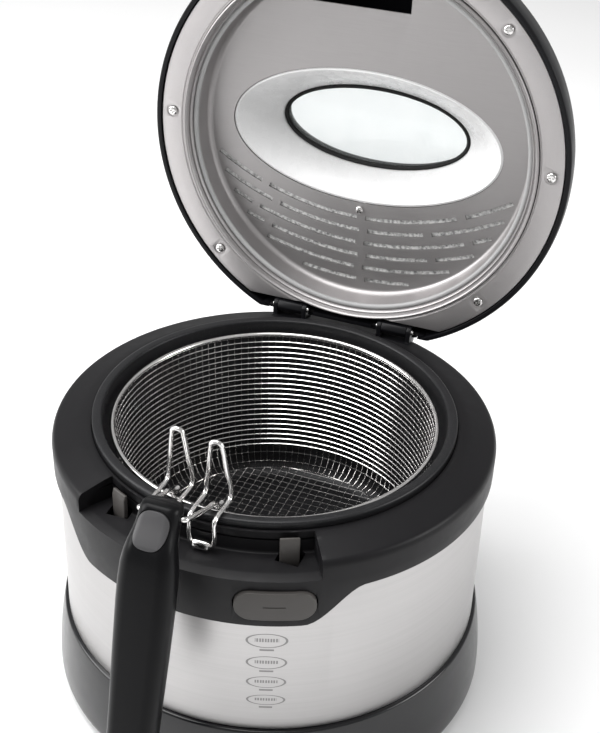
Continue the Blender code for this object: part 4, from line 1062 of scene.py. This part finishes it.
# ---- basket rim ----------------------------------------------------------------------------------
# A thick plated wire is bent round into the rim and butt-welded at the back.
RIM_POINTS = 60
rim = wire("basket_rim_wire", [around(BASKET_R, 360 * k / RIM_POINTS, RIM_Z) for k in range(RIM_POINTS)],
           RIM_WIRE, closed=True, sides=4)
rim.data.materials.append(chrome)
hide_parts("basket_rim")
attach(rim, "basket")


# ---- hooks and sleeves -----------------------------------------------------------------------------
# Two closed wire loops are welded inside the rim. Each stands up as a narrow hairpin, and its
# lower end goes over the bowl's bead and hangs over the shelf, where a crimped sleeve joins it.
HOOK_WIRE = 1.4
CROWN_HALF = 3.4
OVER_BEAD = 2.2


def at(x, y, z):
    """A point in millimetres right of the axis, behind it, and above the bead."""
    return Vector((x * MM, AXIS_Y + y * MM, BEAD_Z + z * MM))


for side in ("left", "right"):
    hook_low, hook_high = corners_of(f"hook_wire_{side}")
    middle = (hook_low.x + hook_high.x) / 2 / MM
    half = (hook_high.x - hook_low.x) / 2 / MM - HOOK_WIRE
    crest = level(hook_high.z) - HOOK_WIRE
    inside = (hook_high.y - AXIS_Y) / MM - HOOK_WIRE
    outside = (hook_low.y - AXIS_Y) / MM + HOOK_WIRE
    foot = level(hook_low.z) + HOOK_WIRE
    leg = [(CROWN_HALF * 0.8, inside - 2.9, crest - 1.2), (CROWN_HALF, inside - 2.6, crest - 3.8),
           ((CROWN_HALF + half) / 2, inside - 1.3, crest * 0.5), (half, inside, 7.0),
           (half, inside - 0.8, OVER_BEAD + 1.4), (half, inside - 2.6, OVER_BEAD),
           (half, outside + 3.0, OVER_BEAD), (half, outside + 0.6, OVER_BEAD - 1.2),
           (half, outside, OVER_BEAD - 4.5), (half, outside, foot + 3.2),
           (half - 1.2, outside, foot + 0.5), (half - 3.2, outside, foot)]
    right_leg = [at(middle + x, y, z) for x, y, z in leg]
    left_leg = [at(middle - x, y, z) for x, y, z in reversed(leg)]
    crown = [at(middle, inside - 3.2, crest)]
    hook = wire(f"hook_loop_{side}", crown + right_leg + left_leg, HOOK_WIRE, closed=True)
    hook.data.materials.append(chrome)
    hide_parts(f"hook_wire_{side}")
    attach(hook, "basket")

    sleeve = eased(f"hook_crimp_{side}", f"hook_sleeve_{side}", 0.5)
    sleeve.data.materials.append(chrome)
    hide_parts(f"hook_sleeve_{side}")
    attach(sleeve, "basket")


# ---- handle fork -----------------------------------------------------------------------------------
# One wire carries the handle: both its ends are welded on the rim, and between them it runs over
# the bead and through the top of the handle, which folds about it.
fold = next(joint for joint in frame["joints"] if joint["name"] == "handle_fold")
PIVOT = Vector(fold["pos_m"])
FORK_WIRE = 1.5
fork_low, fork_high = corners_of("handle_fork")
FORK_HALF = (fork_high.x - fork_low.x) / 2 / MM - FORK_WIRE
PIVOT_Y = (PIVOT.y - AXIS_Y) / MM
PIVOT_UP = level(PIVOT.z)
lift = RIM_Z + RIM_WIRE + FORK_WIRE + 0.2


def fork_leg(side):
    """The leg's points from its curled end on the rim to the pivot."""
    x = HANDLE_X / MM + side * FORK_HALF
    foot_y = -sqrt(BASKET_R ** 2 - x ** 2)
    return [at(x, foot_y + 5.0, lift + 0.4), at(x, foot_y + 0.5, lift + 1.2),
            at(x, -BEAD_R + 4.0, 3.2), at(x, -BEAD_R - 3.0, 5.4),
            at(x, (PIVOT_Y - BEAD_R - 3.0) / 2, (PIVOT_UP + 5.4) / 2),
            at(x, PIVOT_Y + 3.4, PIVOT_UP - 1.4), at(x - side * 0.8, PIVOT_Y + 0.8, PIVOT_UP - 0.2),
            at(x - side * 3.0, PIVOT_Y, PIVOT_UP)]


fork = wire("handle_fork_wire", fork_leg(-1) + list(reversed(fork_leg(1))), FORK_WIRE)
fork.data.materials.append(chrome)
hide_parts("handle_fork")
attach(fork, "basket")


# ---- handle ----------------------------------------------------------------------------------------
# The handle is two glossy black shells with a fine seam down both edges. It is slim at the pivot,
# swells to a full grip, and hangs at a slant in front of the fryer.
HANDLE_LEAN = 15.0
SECTIONS = ((-7.2, 19.0, 11.0, 0.0), (-6.2, 21.6, 13.8, 0.0), (-4.0, 23.0, 15.6, -0.2),
            (0.0, 23.5, 16.0, -1.5), (4.0, 23.9, 16.2, -3.5), (8.0, 25.0, 16.5, -5.8),
            (12.0, 26.8, 17.1, -7.9), (17.0, 29.0, 18.0, -9.3), (24.0, 31.4, 19.0, -9.5),
            (34.0, 32.5, 19.8, -9.5), (48.0, 32.5, 20.0, -9.5), (80.0, 31.0, 20.0, -9.5),
            (110.0, 29.0, 20.0, -9.5), (140.0, 28.0, 19.8, -9.5), (152.0, 25.6, 18.6, -9.5),
            (157.5, 21.5, 16.2, -9.5), (160.0, 15.0, 11.0, -9.5))
THUMB_MIDDLE = -4.75
THUMB_HALF = (9.2, 9.25)
THUMB_PROUD = 0.6
THUMB_THICK = 2.0
SPRING_DROP = 11.4
SPRING_ROOM = 3.2
SEAM_HALF = 0.15
BORE_GAP = 0.6


def handle_body(name):
    """The whole grip, drawn upright as rounded sections that step forward below the neck."""
    along, width, depth, lie = SECTIONS[0]
    bpy.ops.object.select_all(action="DESELECT")
    bpy.ops.mesh.primitive_plane_add(size=MM, location=(0, 0, 0))
    piece = bpy.context.object
    piece.name = name
    bpy.ops.object.mode_set(mode="EDIT")
    bpy.ops.mesh.select_all(action="SELECT")
    bpy.ops.transform.resize(value=(width, depth, 1), center_override=(0, 0, 0))
    bpy.ops.mesh.bevel(offset=depth * 0.44 * MM, segments=8, affect="VERTICES")
    bpy.ops.mesh.select_all(action="SELECT")
    bpy.ops.transform.translate(value=PIVOT + Vector((0, lie * MM, -along * MM)))
    for before, after in zip(SECTIONS, SECTIONS[1:]):
        bpy.ops.mesh.extrude_region_move()
        bpy.ops.transform.resize(value=(after[1] / before[1], after[2] / before[2], 1),
                                 center_override=PIVOT + Vector((0, before[3] * MM, 0)))
        bpy.ops.transform.translate(value=(0, (after[3] - before[3]) * MM,
                                           -(after[0] - before[0]) * MM))
    leave_edit()
    return piece


def half_cutter(name, toward):
    """A block that takes away one half of the handle, and follows its middle down the neck."""
    reach = 50.0
    corners = [(80.0, SECTIONS[0][3])] + [(-along, lie) for along, _, _, lie in SECTIONS]
    corners.append((-200.0, SECTIONS[-1][3]))
    edge = [PIVOT + Vector((-reach * MM, (lie + toward * SEAM_HALF) * MM, up * MM))
            for up, lie in corners]
    far = [Vector((p.x, PIVOT.y + toward * reach * MM, p.z)) for p in (edge[-1], edge[0])]
    return prism(name, edge + far, (2 * reach * MM, 0, 0))


def thumb_prism(name, grow, near, far):
    """The thumb button's broad oval as a prism that runs front to back."""
    half_x, half_z = THUMB_HALF[0] + grow, THUMB_HALF[1] + grow
    flat = []
    for k in range(40):
        turn = 2 * pi * k / 40
        x = half_x * abs(cos(turn)) ** 0.75 * (1 if cos(turn) > 0 else -1)
        z = half_z * abs(sin(turn)) ** 0.75 * (1 if sin(turn) > 0 else -1)
        flat.append(PIVOT + Vector((x * MM, near * MM, (THUMB_MIDDLE + z) * MM)))
    return prism(name, flat, (0, (far - near) * MM, 0))


handle_black = moulded("handle_black", (0.0035, 0.0035, 0.0040), 0.32, 0.5, 0.008, 0.12)
for half, away in (("front", 1), ("back", -1)):
    grip = handle_body(f"handle_{half}_shell")
    cut(grip, half_cutter("handle_half_cut", away))
    if half == "front":
        cut(grip, thumb_prism("thumb_cut", 0.4, -30, -3))
    cut(grip, plug_along_y("spring_room", SPRING_ROOM, PIVOT.y - 0.014, PIVOT.y - 0.0010, PIVOT.x,
                           PIVOT.z - SPRING_DROP * MM))
    bore = plug_along_y("bore_cut", FORK_WIRE + BORE_GAP, -0.03, 0.03, 0, 0)
    turn_about(bore, Vector((0, 0, 0)), 90, "Z")
    bore.data.transform(Matrix.Translation(PIVOT))
    cut(grip, bore)
    soften(grip, 0.5, 3, 45)
    smooth(grip, 40)
    turn_about(grip, PIVOT, -HANDLE_LEAN, "X")
    grip.data.materials.append(handle_black)
    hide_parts(f"handle_{half}")
    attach(grip, "handle")

thumb = thumb_prism("handle_thumb_button", 0.0, -25.0, -3.4)
for shift, operation in ((-THUMB_PROUD, "INTERSECT"), (THUMB_THICK - THUMB_PROUD, "DIFFERENCE")):
    face = handle_body("thumb_face")
    bpy.ops.transform.translate(value=(0, shift * MM, 0))
    bpy.ops.object.transform_apply(location=True, rotation=False, scale=False)
    cut(thumb, face, operation)
soften(thumb, 0.7, 3, 45)
smooth(thumb, 40)
turn_about(thumb, PIVOT, -HANDLE_LEAN, "X")
thumb_grey = moulded("thumb_grey", (0.052, 0.051, 0.053), 0.42, 0.4, 0.015)
thumb.data.materials.append(thumb_grey)
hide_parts("handle_button")
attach(thumb, "handle_press")


# ---- parts that stay as designed -------------------------------------------------------------------
# The heater, thermostat, fuse, terminal block, springs, latch bar and base plate sit inside or
# underneath. They keep their shapes and get the surfaces that the real ones have.
def fired_ceramic():
    """Unglazed off-white ceramic, chalky, with fine pits."""
    finish = Finish("fired_ceramic")
    pits = finish.ramp(finish.noise(0.9, 3.0), 0.35, 0.5)
    return finish.feed(base_color=finish.blend(pits, (0.50, 0.47, 0.42), (0.72, 0.69, 0.63)),
                       roughness=0.62 + pits * 0.1, normal=finish.bump(pits, 0.05))


heater_metal = pressed_metal("heater_sheath", (0.30, 0.29, 0.28), 0.40)
KEPT = {
    "heating_element": heater_metal, "thermostat": fired_ceramic(), "thermal_fuse": heater_metal,
    "terminal_block": fired_ceramic(), "spring_seat": black, "latch_bar": black,
    "latch_spring": chrome, "handle_spring": chrome, "base_plate": black,
}
for node, finish in KEPT.items():
    shown = frame["nodes"][node]
    shown.data.materials.clear()
    shown.data.materials.append(finish)


# ---- floor, light and camera -------------------------------------------------------------------------
# A pale seamless floor, a big soft light overhead and to the left, a weaker one to the right, and
# a camera a little above and to the right of the front.
bpy.ops.object.select_all(action="DESELECT")
bpy.ops.mesh.primitive_plane_add(size=6.0, location=(0, 0, 0))
floor = bpy.context.object
floor.name = "studio_floor"
paper = Finish("studio_paper")
mottle = paper.noise(300.0, 2.0)
floor.data.materials.append(paper.feed(
    base_color=paper.blend(mottle, (0.86, 0.86, 0.86), (0.90, 0.90, 0.90)),
    roughness=0.8 + mottle * 0.1))

MIDDLE = Vector((0.0, AXIS_Y, BEAD_Z))


def soft_light(name, place, size, power):
    """A square lamp that faces the fryer."""
    bpy.ops.object.light_add(type="AREA", location=MIDDLE + Vector(place))
    lamp = bpy.context.object
    lamp.name = name
    lamp.data.size = size
    lamp.data.energy = power
    lamp.rotation_euler = (-Vector(place)).to_track_quat("-Z", "Y").to_euler()


soft_light("overhead", (-0.5, -0.1, 1.6), 1.3, 32)
soft_light("left_side", (-1.5, -0.6, 0.8), 1.1, 26)
soft_light("right_side", (1.3, 0.2, 0.5), 0.6, 9)

world = bpy.data.worlds.new("studio")
world.use_nodes = True
world.node_tree.nodes["Background"].inputs["Color"].default_value = (1.0, 1.0, 1.0, 1.0)
world.node_tree.nodes["Background"].inputs["Strength"].default_value = 0.48
bpy.context.scene.world = world

VIEW_AZIMUTH = 21.33
VIEW_ELEVATION = 34.06
VIEW_DISTANCE = 0.826
VIEW_ROLL = 1.99
AIM = Vector((0.0149, 0.0, 0.0335))
bpy.ops.object.camera_add(location=MIDDLE)
camera = bpy.context.object
camera.name = "front_camera"
camera.data.lens = 66.74
camera.data.sensor_width = 36.0
back = Vector((sin(radians(VIEW_AZIMUTH)) * cos(radians(VIEW_ELEVATION)),
               -cos(radians(VIEW_AZIMUTH)) * cos(radians(VIEW_ELEVATION)),
               sin(radians(VIEW_ELEVATION))))
camera.location = MIDDLE + back * VIEW_DISTANCE
sight = MIDDLE + AIM - camera.location
camera.matrix_world = (Matrix.Translation(camera.location)
                       @ sight.to_track_quat("-Z", "Y").to_matrix().to_4x4()
                       @ Matrix.Rotation(radians(VIEW_ROLL), 4, "Z"))
bpy.context.scene.camera = camera
bpy.context.scene.view_settings.view_transform = "Standard"
